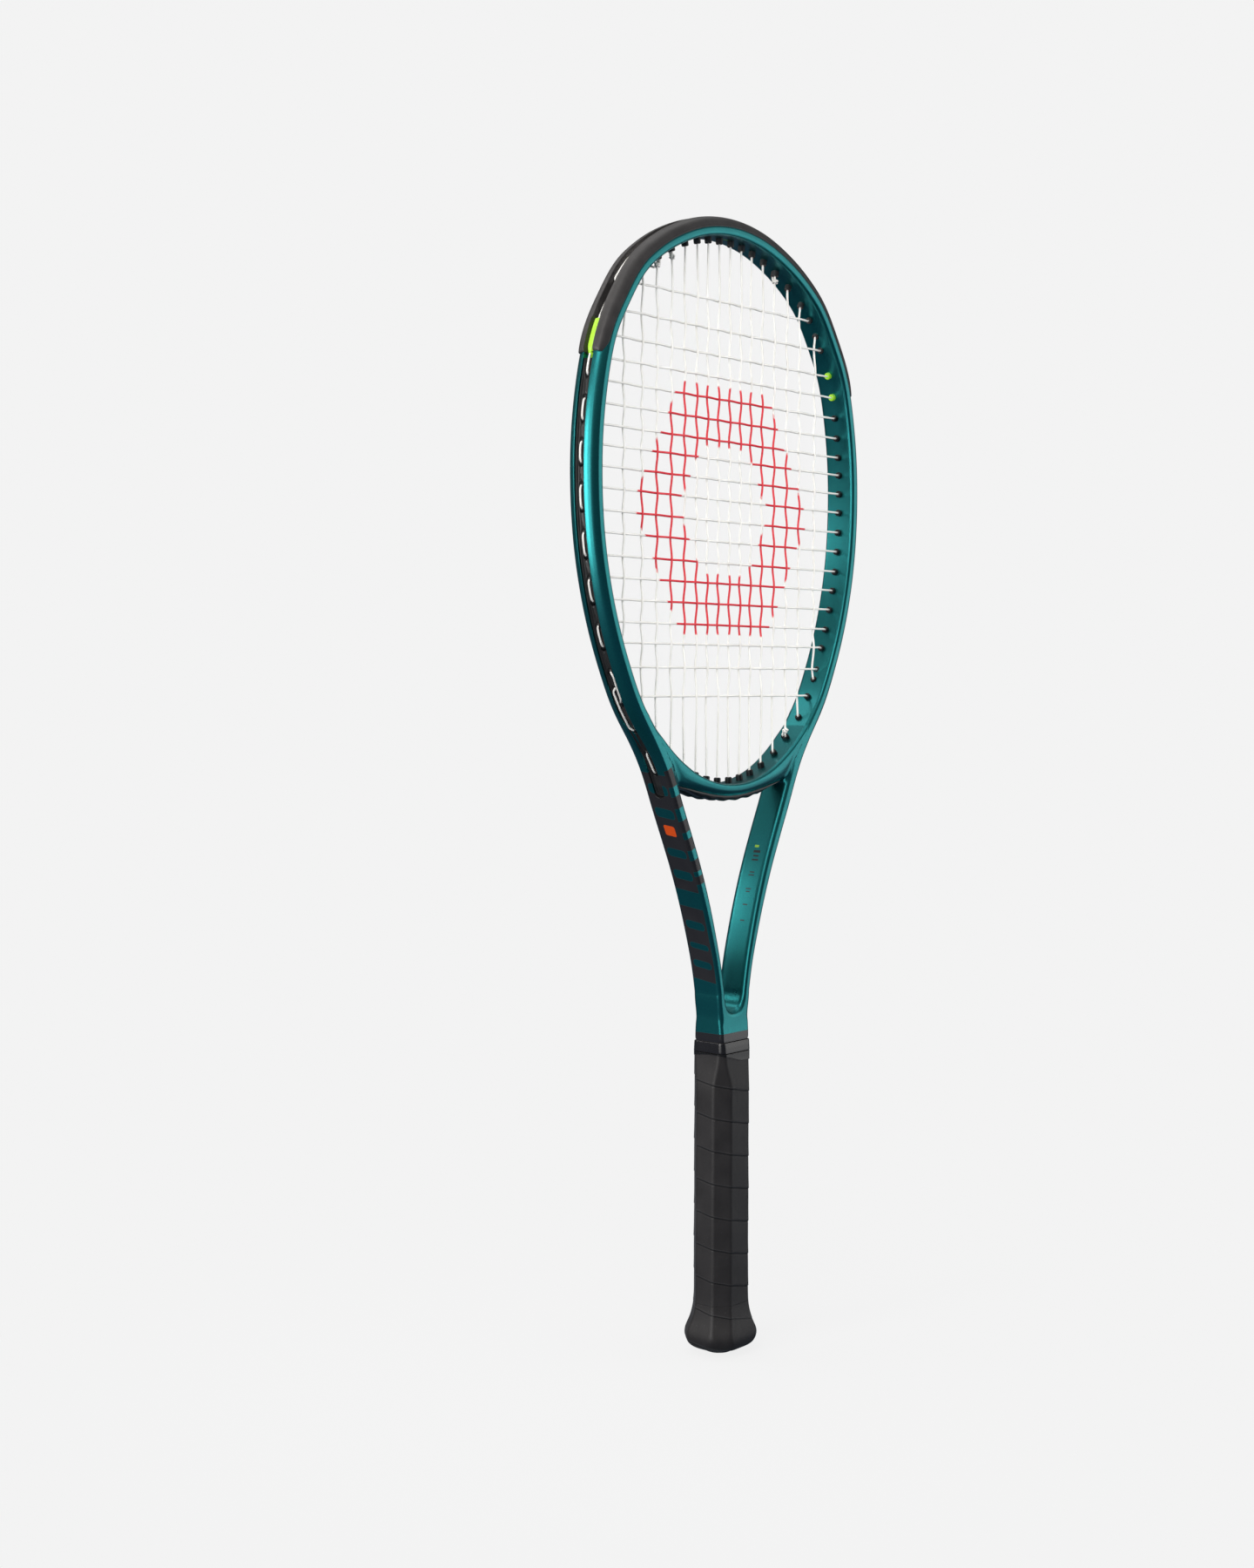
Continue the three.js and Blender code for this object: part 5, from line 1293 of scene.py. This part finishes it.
def outer_run(a, b, lane=0.0, end_lane=None):
    """Control points of a string from the outside of hole a to the outside of hole b."""
    pts = []
    if a["bridge"]:
        xa, xb = a["exit"][0], b["exit"][0]
        d = np.sign(xb - xa)
        return [bridge_pt(xa, 0, -1.3), bridge_pt(xa + d * 0.9, lane * 0.4, -0.2), bridge_pt((xa + xb) / 2, lane, 0.1),
                bridge_pt(xb - d * 0.9, lane * 0.4, -0.2), bridge_pt(xb, 0, -1.3)]
    d = np.sign(b["s"] - a["s"])
    L = abs(b["s"] - a["s"])
    pts += [groove_pt(a["s"], 0, -1.5), groove_pt(a["s"] + d * 0.8, lane * 0.3, -0.35), groove_pt(a["s"] + d * 2.4, lane, 0.05)]
    n = max(2, int(round(L / 6)))
    for i in range(1, n):
        t = a["s"] + d * (2.4 + (L - 4.8) * i / n)
        pts.append(groove_pt(t, lane, 0.15 if lane == 0 else 0.0))
    if end_lane:
        pts += [groove_pt(b["s"] - d * 2.4, end_lane, 0.05), groove_pt(b["s"] - d * 0.8, end_lane, -0.35), groove_pt(b["s"], end_lane, -1.5)]
    else:
        pts += [groove_pt(b["s"] - d * 2.4, lane, 0.05), groove_pt(b["s"] - d * 0.8, lane * 0.3, -0.35), groove_pt(b["s"], 0, -1.5)]
    return pts


def through(h, y=0.0, out=True):
    """Points down the barrel of hole h, from its tip outwards."""
    o_ = np.array([0, y, 0])
    pts = [h["tip"] + h["dir"] * t + o_ for t in (0.2, 1.2, h["len"] * 0.5, h["len"] - 1.6)]
    return pts if out else pts[::-1]


def weave(p0, p1, stops):
    """Straight run from p0 to p1 that passes over or under at the stops (distance, y)."""
    d = p1 - p0
    L = np.linalg.norm(d)
    xs = np.array([0.0] + [s_[0] for s_ in stops] + [L])
    ys = np.array([0.0] + [s_[1] for s_ in stops] + [0.0])
    q = np.arange(0, L, 0.9)
    k = np.clip(np.searchsorted(xs, q, "right") - 1, 0, len(xs) - 2)
    t = (q - xs[k]) / (xs[k + 1] - xs[k])
    y = ys[k] + (ys[k + 1] - ys[k]) * (0.5 - 0.5 * np.cos(PI * t))
    pts = p0 + d / L * q[:, None]
    pts[:, 1] += y
    return pts[1:]


AM, AC = 0.62, 0.74


def over(i, j):
    return 1 if (i + j) % 2 else -1


mains = [(-x) for x in MAIN_X[::-1]] + MAIN_X


def mt(i): return holes["mt" + (f"L{8 - i}" if i < 8 else f"R{i - 7}")]
def mb(i): return holes["mb" + (f"L{8 - i}" if i < 8 else f"R{i - 7}")]


def main_run(i, up):
    a, b = (mb(i), mt(i)) if up else (mt(i), mb(i))
    p0, p1 = a["tip"], b["tip"]
    stops = []
    for j, zc in enumerate(CROSS_Z):
        dz = abs(zc - p0[2])
        if min(p0[2], p1[2]) + 2 < zc < max(p0[2], p1[2]) - 2 and abs(mains[i]) < abs(holes[f"cR{j + 1}"]["tip"][0]) - 1:
            stops.append((dz, -over(i, j) * AM))
    return weave(p0, p1, sorted(stops))


def cross_run(j, right):
    L, R = holes[f"cL{j + 1}"], holes[f"cR{j + 1}"]
    a, b = (L, R) if right else (R, L)
    p0, p1 = a["tip"], b["tip"]
    stops = [(abs(x - p0[0]), over(i, j) * AC) for i, x in enumerate(mains) if min(p0[0], p1[0]) + 1 < x < max(p0[0], p1[0]) - 1]
    return weave(p0, p1, sorted(stops))


def tie_off(h, lane):
    """A tied end: back in through the shared hole, three turns round the string that runs there, and a short tail."""
    k = h["tie"]
    start = h["tip"] + np.array([0, lane * k, 0])
    inw = -h["dir"]
    axis = np.array([0, 0, -1.0 if h["tip"][2] > 500 else 1.0])     # along the main, into the head
    pts = [start + h["dir"] * 1.5, start + h["dir"] * 0.3, start + inw * 0.6]
    centre = h["tip"] + axis * 1.6
    turns, n = 2.6, 34
    a0 = 0.0
    for q in range(n + 1):
        a = a0 + q / n * turns * 2 * PI
        r = 1.32 + 0.22 * math.sin(q * 0.9)
        climb = 0.2 + 2.3 * q / n
        pts.append(centre + axis * climb + np.array([math.sin(a) * r, math.cos(a) * r * k, 0]))
    last = pts[-1]
    side_ = unit(last - (centre + axis * 2.5))
    pts += [last + axis * 0.5 + side_ * 0.8, last - axis * 0.3 + side_ * 2.4, last - axis * 0.6 + side_ * 4.4]
    return pts


def finish_path(parts):
    """Joins dense and sparse stretches into one even, lightly rounded path."""
    P = np.concatenate([np.asarray(p_, float).reshape(-1, 3) for p_ in parts])
    d = np.r_[True, np.linalg.norm(np.diff(P, axis=0), axis=1) > 0.05]
    P = P[d]
    P = centripetal(P, 4)
    P = resample(P, 0.85)
    w = np.array([0.25, 0.5, 0.25])
    E = np.concatenate([P[:1], P, P[-1:]])
    return E[:-2] * w[0] + E[1:-1] * w[1] + E[2:] * w[2]


def string_piece(name, path, mat, node):
    B = Build()
    B.tube(path, STRING_R, 10)
    return B.make(name, [mat], replaces=[node], slot="string")


parts = [tie_off(mt(3), LANE)[::-1], outer_run(mt(0), mt(3), LANE, LANE * mt(3)["tie"])[::-1], through(mt(0), out=False)]
for i in range(16):
    up = i % 2 == 1
    parts.append(main_run(i, up))
    a = mt(i) if up else mb(i)
    if i < 15:
        b = mt(i + 1) if up else mb(i + 1)
        lane = LANE if i == 0 else (-LANE if i == 14 else 0.0)
        parts += [through(a), outer_run(a, b, lane), through(b, out=False)]
parts += [through(mt(15)), outer_run(mt(15), mt(12), LANE, LANE * mt(12)["tie"]), tie_off(mt(12), LANE)]
string_piece("main_string_woven", finish_path(parts), mat_main, "main_string")

parts = [tie_off(mt(2), LANE)[::-1], outer_run(holes["cL1"], mt(2), -LANE, LANE * mt(2)["tie"])[::-1], through(holes["cL1"], out=False)]
for j in range(19):
    right = j % 2 == 0
    parts.append(cross_run(j, right))
    a = holes[f"c{'R' if right else 'L'}{j + 1}"]
    if j < 18:
        b = holes[f"c{'R' if right else 'L'}{j + 2}"]
        lane = -LANE if j in (0, 17) else 0.0
        parts += [through(a), outer_run(a, b, lane), through(b, out=False)]
parts += [through(holes["cR19"]), outer_run(holes["cR19"], mb(13), LANE, LANE * mb(13)["tie"]), tie_off(mb(13), LANE)]
string_piece("cross_string_woven", finish_path(parts), mat_cross, "cross_string")


# ------------------------------------------------------------------ handle
GX, GY, GB = 16.5, 14.4, 7.9


def oct_ring(x, y, b, t, per=4, flat=3):
    """Rounded octagon, arrays over rows (S,): returns (S, C, 2) and the angle of each column."""
    S = len(x)
    V = np.stack([np.stack(p_, -1) for p_ in
                  [(x, y - b), (x - b, y), (-x + b, y), (-x, y - b), (-x, -y + b), (-x + b, -y), (x - b, -y), (x, -y + b)]], 1)
    out = []
    for k in range(8):
        A, C, Bn = V[:, k - 1], V[:, k], V[:, (k + 1) % 8]
        arc = corner(A, C, Bn, t, per)
        out.append(arc)
        nxt = V[:, (k + 2) % 8]
        arc2 = corner(C, Bn, nxt, t, per)
        p0, p1 = arc[:, -1], arc2[:, 0]
        for i in range(1, flat + 1):
            f = i / (flat + 1)
            out.append((p0 * (1 - f) + p1 * f)[:, None])
    return np.concatenate(out, 1)


def grip_size(z):
    """Half width, half depth and bevel of the wrapped handle at height z."""
    f = smooth((z - 162) / 21)
    x, y, b = lerp(GX, 14.75, f), lerp(GY, 12.1, f), lerp(GB, 3.3, f)
    # heel flare
    hz = [1.2, 1.8, 2.4, 3.2, 4.2, 5.0, 6.2, 7.7, 9.5, 11.5, 14.0, 17.0, 20.0, 23.0, 26.0, 29.0, 32.0, 36.0]
    hx = np.interp(z, hz, [-7.4, -4.6, -2.1, 0.1, 1.8, 2.8, 3.8, 4.5, 5.0, 5.15, 4.7, 3.55, 2.35, 1.5, 0.85, 0.4, 0.12, 0.0])
    hy = np.interp(z, hz, [-7.0, -4.6, -2.3, -0.2, 1.1, 2.0, 2.8, 3.35, 3.75, 3.85, 3.55, 2.7, 1.8, 1.1, 0.65, 0.3, 0.1, 0.0])
    return x + hx, y + hy, np.minimum(b + hx * 0.18, (y + hy) * 0.58)




def seam_phase(theta, z):
    """0 to 1 up from one seam of the tape to the next."""
    zs = 160.0 - PITCH * (theta - math.radians(300.8)) / (2 * PI)
    return ((z - zs) / PITCH) % 1.0


def build_grip(z0, z1, name, node, step=0.5):
    B = Build()
    z = np.arange(z0, z1 + 1e-6, (z1 - z0) / round((z1 - z0) / step))
    zs = blur(np.stack(grip_size(z), 1), 1.5, z[1] - z[0]) if len(z) > 20 else np.stack(grip_size(z), 1)
    x, y, b = zs.T
    # the corners are crisp along the handle and melt together round the heel
    ring = oct_ring(x, y, b, 1.3 + 3.2 * smooth((17 - z) / 12), per=7, flat=7)
    th = np.arctan2(ring[..., 1], ring[..., 0]) % (2 * PI)
    ph = seam_phase(th, z[:, None])
    # each turn laps over the one below: proud just above a seam, thin just below the next
    d = 0.16 * np.exp(-ph * 6.0) - 0.12 * smooth((ph - 0.6) / 0.4)
    gr = np.minimum(ph, 1 - ph) * PITCH
    d = d - 0.34 * np.exp(-(gr / 0.32) ** 2)
    # slow unevenness of hand-wound tape
    d = d + 0.07 * np.sin(th * 3 + z[:, None] * 0.11) + 0.04 * np.sin(th * 5 - z[:, None] * 0.31)
    lim = smooth((z - z0) / 3.0) * smooth((z1 - z) / 2.0)
    low = 1.0 if z0 > 20 else 0.6
    nrm = np.stack([np.cos(th), np.sin(th)], -1)
    g = unit(np.roll(ring, -1, 1) - np.roll(ring, 1, 1))
    out = np.stack([g[..., 1], -g[..., 0]], -1)
    out *= np.sign((out * nrm).sum(-1, keepdims=True))
    P2 = ring + out * (d * low + 0.12)[..., None]
    return B, z, ring, P2, th


def close_shell(B, outer, z, th, shrink=1.6, uv=True):
    """Adds an outer wall (rows of x, y at heights z) with an inner wall, closed at both ends."""
    c = outer.mean(1, keepdims=True)
    r = np.linalg.norm(outer - c, axis=-1, keepdims=True)
    inner_ = c + (outer - c) * (1 - shrink / r)
    rows_o = np.concatenate([outer, np.broadcast_to(z[:, None, None], (*outer.shape[:2], 1))], -1)
    rows_i = np.concatenate([inner_, np.broadcast_to(z[:, None, None], (*outer.shape[:2], 1))], -1)
    # rounded ends
    def lip(ro, ri, dz):
        a = []
        for f, k in ((0.06, 0.35), (0.25, 0.75), (0.5, 0.92)):
            p_ = ro * (1 - f) + ri * f
            p_ = p_.copy()
            p_[:, 2] += dz * k
            a.append(p_)
        return a
    top = lip(rows_o[-1], rows_i[-1], 0.25)
    bot = lip(rows_o[0], rows_i[0], -0.25)
    take = np.linspace(len(z) - 1, 0, max(2, len(z) // 12)).astype(int)
    seq = [*rows_o, *top, *rows_i[take], *bot[::-1]]
    R = np.array(seq)
    L = np.stack([np.broadcast_to(R[..., 2], R.shape[:2]), np.broadcast_to((th[0] / (2 * PI))[None], R.shape[:2])], -1)
    B.loft(R, uv=L, closed=True)


B, z, ring, P2, th = build_grip(31.0, 184.3, "grip", "grip_tape")
close_shell(B, P2, z, th, 1.5)
B.make("grip_tape_wrap", [mat_grip], replaces=["grip_tape"], slot="grip")

B, z, ring, P2, th = build_grip(1.6, 30.7, "heel", "heel_wrap", 0.35)
close_shell(B, P2, z, th, 1.0)
B.make("heel_wrap_skin", [mat_grip], replaces=["heel_wrap"], slot="grip")


def build_butt():
    B = Build()
    rows = [(0.50, 9.7, 7.5), (0.62, 10.2, 8.1), (0.95, 10.7, 8.8), (1.6, 11.2, 9.2), (2.4, 13.4, 11.2), (3.4, 15.4, 13.0), (5.0, 17.6, 15.0),
            (9.0, 19.2, 16.5), (14.0, 19.4, 16.2), (20.0, 17.0, 14.7), (30.5, 14.9, 12.8)]
    zr, x, y = (np.array([r[k] for r in rows]) for k in range(3))
    ring = oct_ring(x, y, np.minimum(7.6, y * 0.58), np.full(len(zr), 2.6), per=5, flat=3)
    P = np.concatenate([ring, np.broadcast_to(zr[:, None, None], (*ring.shape[:2], 1))], -1)
    # the badge recess in the end: an oval dish 1 mm deep
    C = ring.shape[1]
    th = np.arctan2(ring[0, :, 1], ring[0, :, 0])
    def oval_row(rx, ry, zc):
        return np.stack([rx * np.cos(th), ry * np.sin(th), np.full(C, zc)], 1)
    inner_rows = [oval_row(9.3, 7.1, 0.46), oval_row(8.9, 6.7, 0.46), oval_row(8.75, 6.55, 0.58), oval_row(8.7, 6.4, 1.1), oval_row(8.4, 6.1, 1.3), oval_row(3.0, 2.2, 1.32)]
    seq = np.array([*inner_rows[::-1], *P])
    B.loft(seq)
    return B.make("butt_cap_moulding", [mat_cap], replaces=["butt_cap"], slot="cap")


build_butt()


def build_badge():
    B = Build()
    n = 64
    a = np.arange(n) / n * 2 * PI
    rows = [(0.85, 8.45, 6.15), (0.58, 8.35, 6.05), (0.48, 8.0, 5.7), (0.50, 7.4, 5.2), (0.62, 7.1, 4.9), (0.62, 6.5, 4.3), (0.50, 6.2, 4.0), (0.46, 4.0, 2.6), (0.46, 1.0, 0.7)]
    R = np.array([np.stack([rx * np.cos(a), ry * np.sin(a), np.full(n, zc)], 1) for zc, rx, ry in rows])
    top = np.array([np.stack([rx * np.cos(a), ry * np.sin(a), np.full(n, 1.1)], 1) for rx, ry in ((1.0, 0.7), (8.4, 6.1))])
    B.loft(np.concatenate([top, R]))
    return B.make("butt_badge_disc", [mat_badge], replaces=["butt_badge"], slot="badge")


build_badge()


def build_tape():
    """Gloss tape round the top of the grip; its lower edge follows the last turn of the wrap."""
    B = Build()
    rows = np.linspace(0, 1, 12)
    S = len(rows)
    th = np.arctan2(*oct_ring(*(np.array([q]) for q in (15.0, 12.4, 4.0, 1.2)), per=5, flat=5)[0].T[::-1]) % (2 * PI)
    # the lower edge drops along the last turn on the front and comes back up behind
    dth = (th - math.radians(200)) % (2 * PI)
    drop = smooth(dth / math.radians(95)) * smooth((2 * PI - dth) / math.radians(150))
    lo, hi = 184.2 - 4.9 * drop, 184.55
    Z = lo[None] + (hi - lo[None]) * rows[:, None]
    out = np.zeros((S, len(th), 2))
    for k in range(len(th)):
        x, y, b = grip_size(np.minimum(Z[:, k], 183.0))
        out[:, k] = oct_ring(x + 0.32, y + 0.32, b, np.full(S, 1.2), per=5, flat=5)[:, k]
    shape = np.concatenate([out, Z[..., None]], -1)
    lipd = shape[:1].copy()
    lipd[..., :2] *= 0.992
    lipd[..., 2] -= 0.12
    inn = shape[::-1].copy()
    inn[..., :2] *= 0.95
    B.loft(np.concatenate([lipd, shape, inn]), closed=True)
    return B.make("finishing_tape_band", [mat_tape], replaces=["finishing_tape"], slot="tape")


build_tape()


def build_collar():
    B = Build()
    lo, hi = cad("grip_collar")
    z0, z1 = lo[2] + 1.7, hi[2]
    prof = [(z0, 14.25, 12.0, 3.4), (z0 + 0.25, 14.4, 12.12, 3.6), (z0 + 1.2, 14.4, 12.05, 3.6), (z0 + 3.0, 14.34, 11.92, 3.5), (z0 + 5.0, 14.28, 11.78, 3.3),
            (z1 - 1.6, 14.24, 11.68, 3.2), (z1 - 0.9, 14.22, 11.66, 3.1), (z1 - 0.4, 14.17, 11.6, 3.0), (z1 - 0.12, 14.08, 11.48, 2.9), (z1, 14.0, 11.34, 2.8),
            (z1 - 0.15, 13.97, 11.24, 2.6), (z1 - 1.0, 13.96, 11.2, 2.5), (z0 + 1.0, 13.96, 11.2, 2.5), (z0, 14.0, 11.26, 2.6)]
    a = np.array(prof)
    S = len(a)
    X, Y, R = a[:, 1], a[:, 2], a[:, 3]
    # rounded box rings: corners as quarter turns
    rings = []
    for k in range(S):
        pts = []
        for cx, cy, a0 in ((1, 1, 0), (-1, 1, 90), (-1, -1, 180), (1, -1, 270)):
            c_ = np.array([cx * (X[k] - R[k]), cy * (Y[k] - R[k])])
            for q in range(9):
                an = math.radians(a0 + q * 90 / 8)
                pts.append(c_ + R[k] * np.array([math.cos(an), math.sin(an)]))
        P = np.array(pts)
        fine = []
        for i in range(len(P)):
            nx = P[(i + 1) % len(P)]
            fine.append(P[i])
            if np.linalg.norm(nx - P[i]) > 4:
                for f in (0.02, 0.2, 0.4, 0.6, 0.8, 0.98):
                    fine.append(P[i] * (1 - f) + nx * f)
        rings.append(np.array(fine))
    rings = np.array(rings)
    P = np.concatenate([rings, np.broadcast_to(a[:, 0][:, None, None], (*rings.shape[:2], 1))], -1)
    B.loft(P, closed=True)
    return B.make("grip_collar_sleeve", [mat_collar], body="collar", replaces=["grip_collar"], slot="collar")


build_collar()

# CAD nodes that stay as they are, with their own procedural finish
for node, m in (("handle_pallet", mat_foam), ("butt_staple_front", mat_steel), ("butt_staple_back", mat_steel)):
    me = frame["nodes"][node].data
    me.materials.clear()
    me.materials.append(m)


# ------------------------------------------------------------------ stage, light, camera
def stage_material():
    m, nt, b = new_mat("pale_floor")
    N = Nodes(nt)
    x, y, z = N.xyz(N.obj())
    r = N.math("SQRT", N.add(N.mul(x, x), N.mul(y, y)))
    g = N.noise(N.obj(), 3.0, 2.0, 0.5)
    near = N.remap(r, 0.45, 0.06, 0.0, 1.0, "SMOOTHSTEP")
    setp(N, b, color=N.mix(near, (0.0, 0.0, 0.0), N.mix(g, (0.10, 0.10, 0.10), (0.11, 0.11, 0.11))), rough=0.9, spec=0.0,
         emit=(0.896, 0.896, 0.896), emit_strength=N.mixf(near, 1.0, FLOOR_EMIT))
    return m


FLOOR_EMIT = 0.93
bpy.ops.mesh.primitive_circle_add(vertices=96, radius=6.0, fill_type="NGON", location=(0, 0, -0.0003))
floor = bpy.context.object
floor.name = "floor"
floor.data.materials.append(stage_material())
floor.visible_glossy = False          # the object is lit by the lamps and the sky alone
floor.visible_diffuse = False

world = bpy.data.worlds.new("studio")
bpy.context.scene.world = world
world.use_nodes = True
nt = world.node_tree
nt.nodes.clear()
N = Nodes(nt)
out = nt.nodes.new("ShaderNodeOutputWorld")
lp = nt.nodes.new("ShaderNodeLightPath")
seen = nt.nodes.new("ShaderNodeBackground")
seen.inputs[0].default_value = (0.896, 0.896, 0.896, 1)
seen.inputs[1].default_value = 1.0
lit = nt.nodes.new("ShaderNodeBackground")
tc = nt.nodes.new("ShaderNodeTexCoord")
dx, dy, dz = N.xyz(tc.outputs["Generated"])
sky = N.ramp(N.remap(dz, -1.0, 1.0), [(0.0, (0.035, 0.045, 0.06)), (0.30, (0.05, 0.072, 0.11)), (0.5, (0.048, 0.060, 0.076)), (0.62, (0.07, 0.077, 0.085)), (1.0, (0.38, 0.38, 0.38))])
nt.links.new(sky, lit.inputs[0])
lit.inputs[1].default_value = 1.0
mixs = nt.nodes.new("ShaderNodeMixShader")
nt.links.new(lp.outputs["Is Camera Ray"], mixs.inputs[0])
nt.links.new(lit.outputs[0], mixs.inputs[1])
nt.links.new(seen.outputs[0], mixs.inputs[2])
nt.links.new(mixs.outputs[0], out.inputs[0])


def area(name, loc, target, size, energy, color=(1, 1, 1)):
    L = bpy.data.lights.new(name, "AREA")
    L.shape = "RECTANGLE"
    L.size, L.size_y = size
    L.energy = energy
    L.color = color
    o_ = bpy.data.objects.new(name, L)
    bpy.context.scene.collection.objects.link(o_)
    o_.location = loc
    d = Vector(target) - Vector(loc)
    o_.rotation_mode = "QUATERNION"
    o_.rotation_quaternion = d.to_track_quat("-Z", "Y")
    o_.visible_camera = False
    return o_


az, el, roll = math.radians(-49.394), math.radians(2.679), math.radians(0.105)
back = Vector((math.sin(az) * math.cos(el), -math.cos(az) * math.cos(el), math.sin(el)))
right = Vector((math.cos(az), math.sin(az), 0))
upv = back.cross(right)
r2 = right * math.cos(roll) + upv * math.sin(roll)
u2 = upv * math.cos(roll) - right * math.sin(roll)



def lamp(name, centre, toward, far, size, radiance, color=(1, 1, 1)):
    """Soft box seen from centre in the direction toward, with the given brightness."""
    d = Vector(toward).normalized()
    return area(name, Vector(centre) + d * far, centre, size, radiance * PI * size[0] * size[1], color)


head = (0, 0, 0.50)
lamp("key_left", head, (-0.99, -0.10, 0.06), 1.7, (1.35, 1.15), 2.0, (1.0, 1.0, 0.99))
lamp("key_core", (0, 0, 0.51), (-0.985, 0.15, 0.04), 1.7, (0.40, 0.95), 6.0, (1.0, 0.985, 0.96))
lamp("upper_left", (0, 0, 0.62), (-0.72, -0.22, 0.66), 1.7, (0.8, 0.8), 2.4, (1.0, 0.985, 0.97))
lamp("arm_glow", (0.03, 0, 0.29), (-0.60, 0.69, 0.33), 1.8, (0.45, 0.22), 5.6, (1.0, 0.99, 0.97))
lamp("back_high", (0.05, 0, 0.40), (-0.24, 0.62, 0.75), 1.8, (0.6, 0.5), 1.5, (1.0, 0.99, 0.97))
lamp("fill_right", (0, 0, 0.50), (0.76, -0.65, 0.05), 2.0, (1.2, 1.15), 1.18, (1.0, 0.99, 0.97))
lamp("fill_low", (0, 0, 0.15), (0.70, -0.60, -0.20), 1.6, (0.9, 0.5), 0.75, (1.0, 0.99, 0.98))
lamp("top_soft", head, (0.1, 0.1, 1.0), 1.6, (1.4, 1.4), 0.8, (1, 1, 1))
# one soft box is flagged off everything but the strings, as they would vanish against a pale wall otherwise
strings_only = bpy.data.collections.new("lit_by_string_light")
for o_ in list(bpy.data.objects):
    if o_.name.startswith(("main_string_woven", "cross_string_woven")):
        strings_only.objects.link(o_)
for name_, way, bright in (("string_light", (-0.62, -0.62, 0.45), 3.0), ("string_light_low", (0.30, -0.92, -0.12), 3.3),
                           ("string_light_back", (0.45, 0.85, 0.28), 3.4)):
    spot = lamp(name_, head, way, 1.8, (1.4, 1.4), bright, (1, 1, 1))
    spot.light_linking.receiver_collection = strings_only

cam_data = bpy.data.cameras.new("camera")
cam = bpy.data.objects.new("camera", cam_data)
bpy.context.scene.collection.objects.link(cam)
cam_data.lens = 48.412
cam_data.sensor_width = 36
cam_data.clip_start, cam_data.clip_end = 0.05, 50
cam.matrix_world = Matrix(((r2.x, u2.x, back.x, -1.0065), (r2.y, u2.y, back.y, -0.7864), (r2.z, u2.z, back.z, 0.4065), (0, 0, 0, 1)))
bpy.context.scene.camera = cam
bpy.context.scene.view_settings.view_transform = "Standard"
bpy.context.scene.view_settings.look = "None"
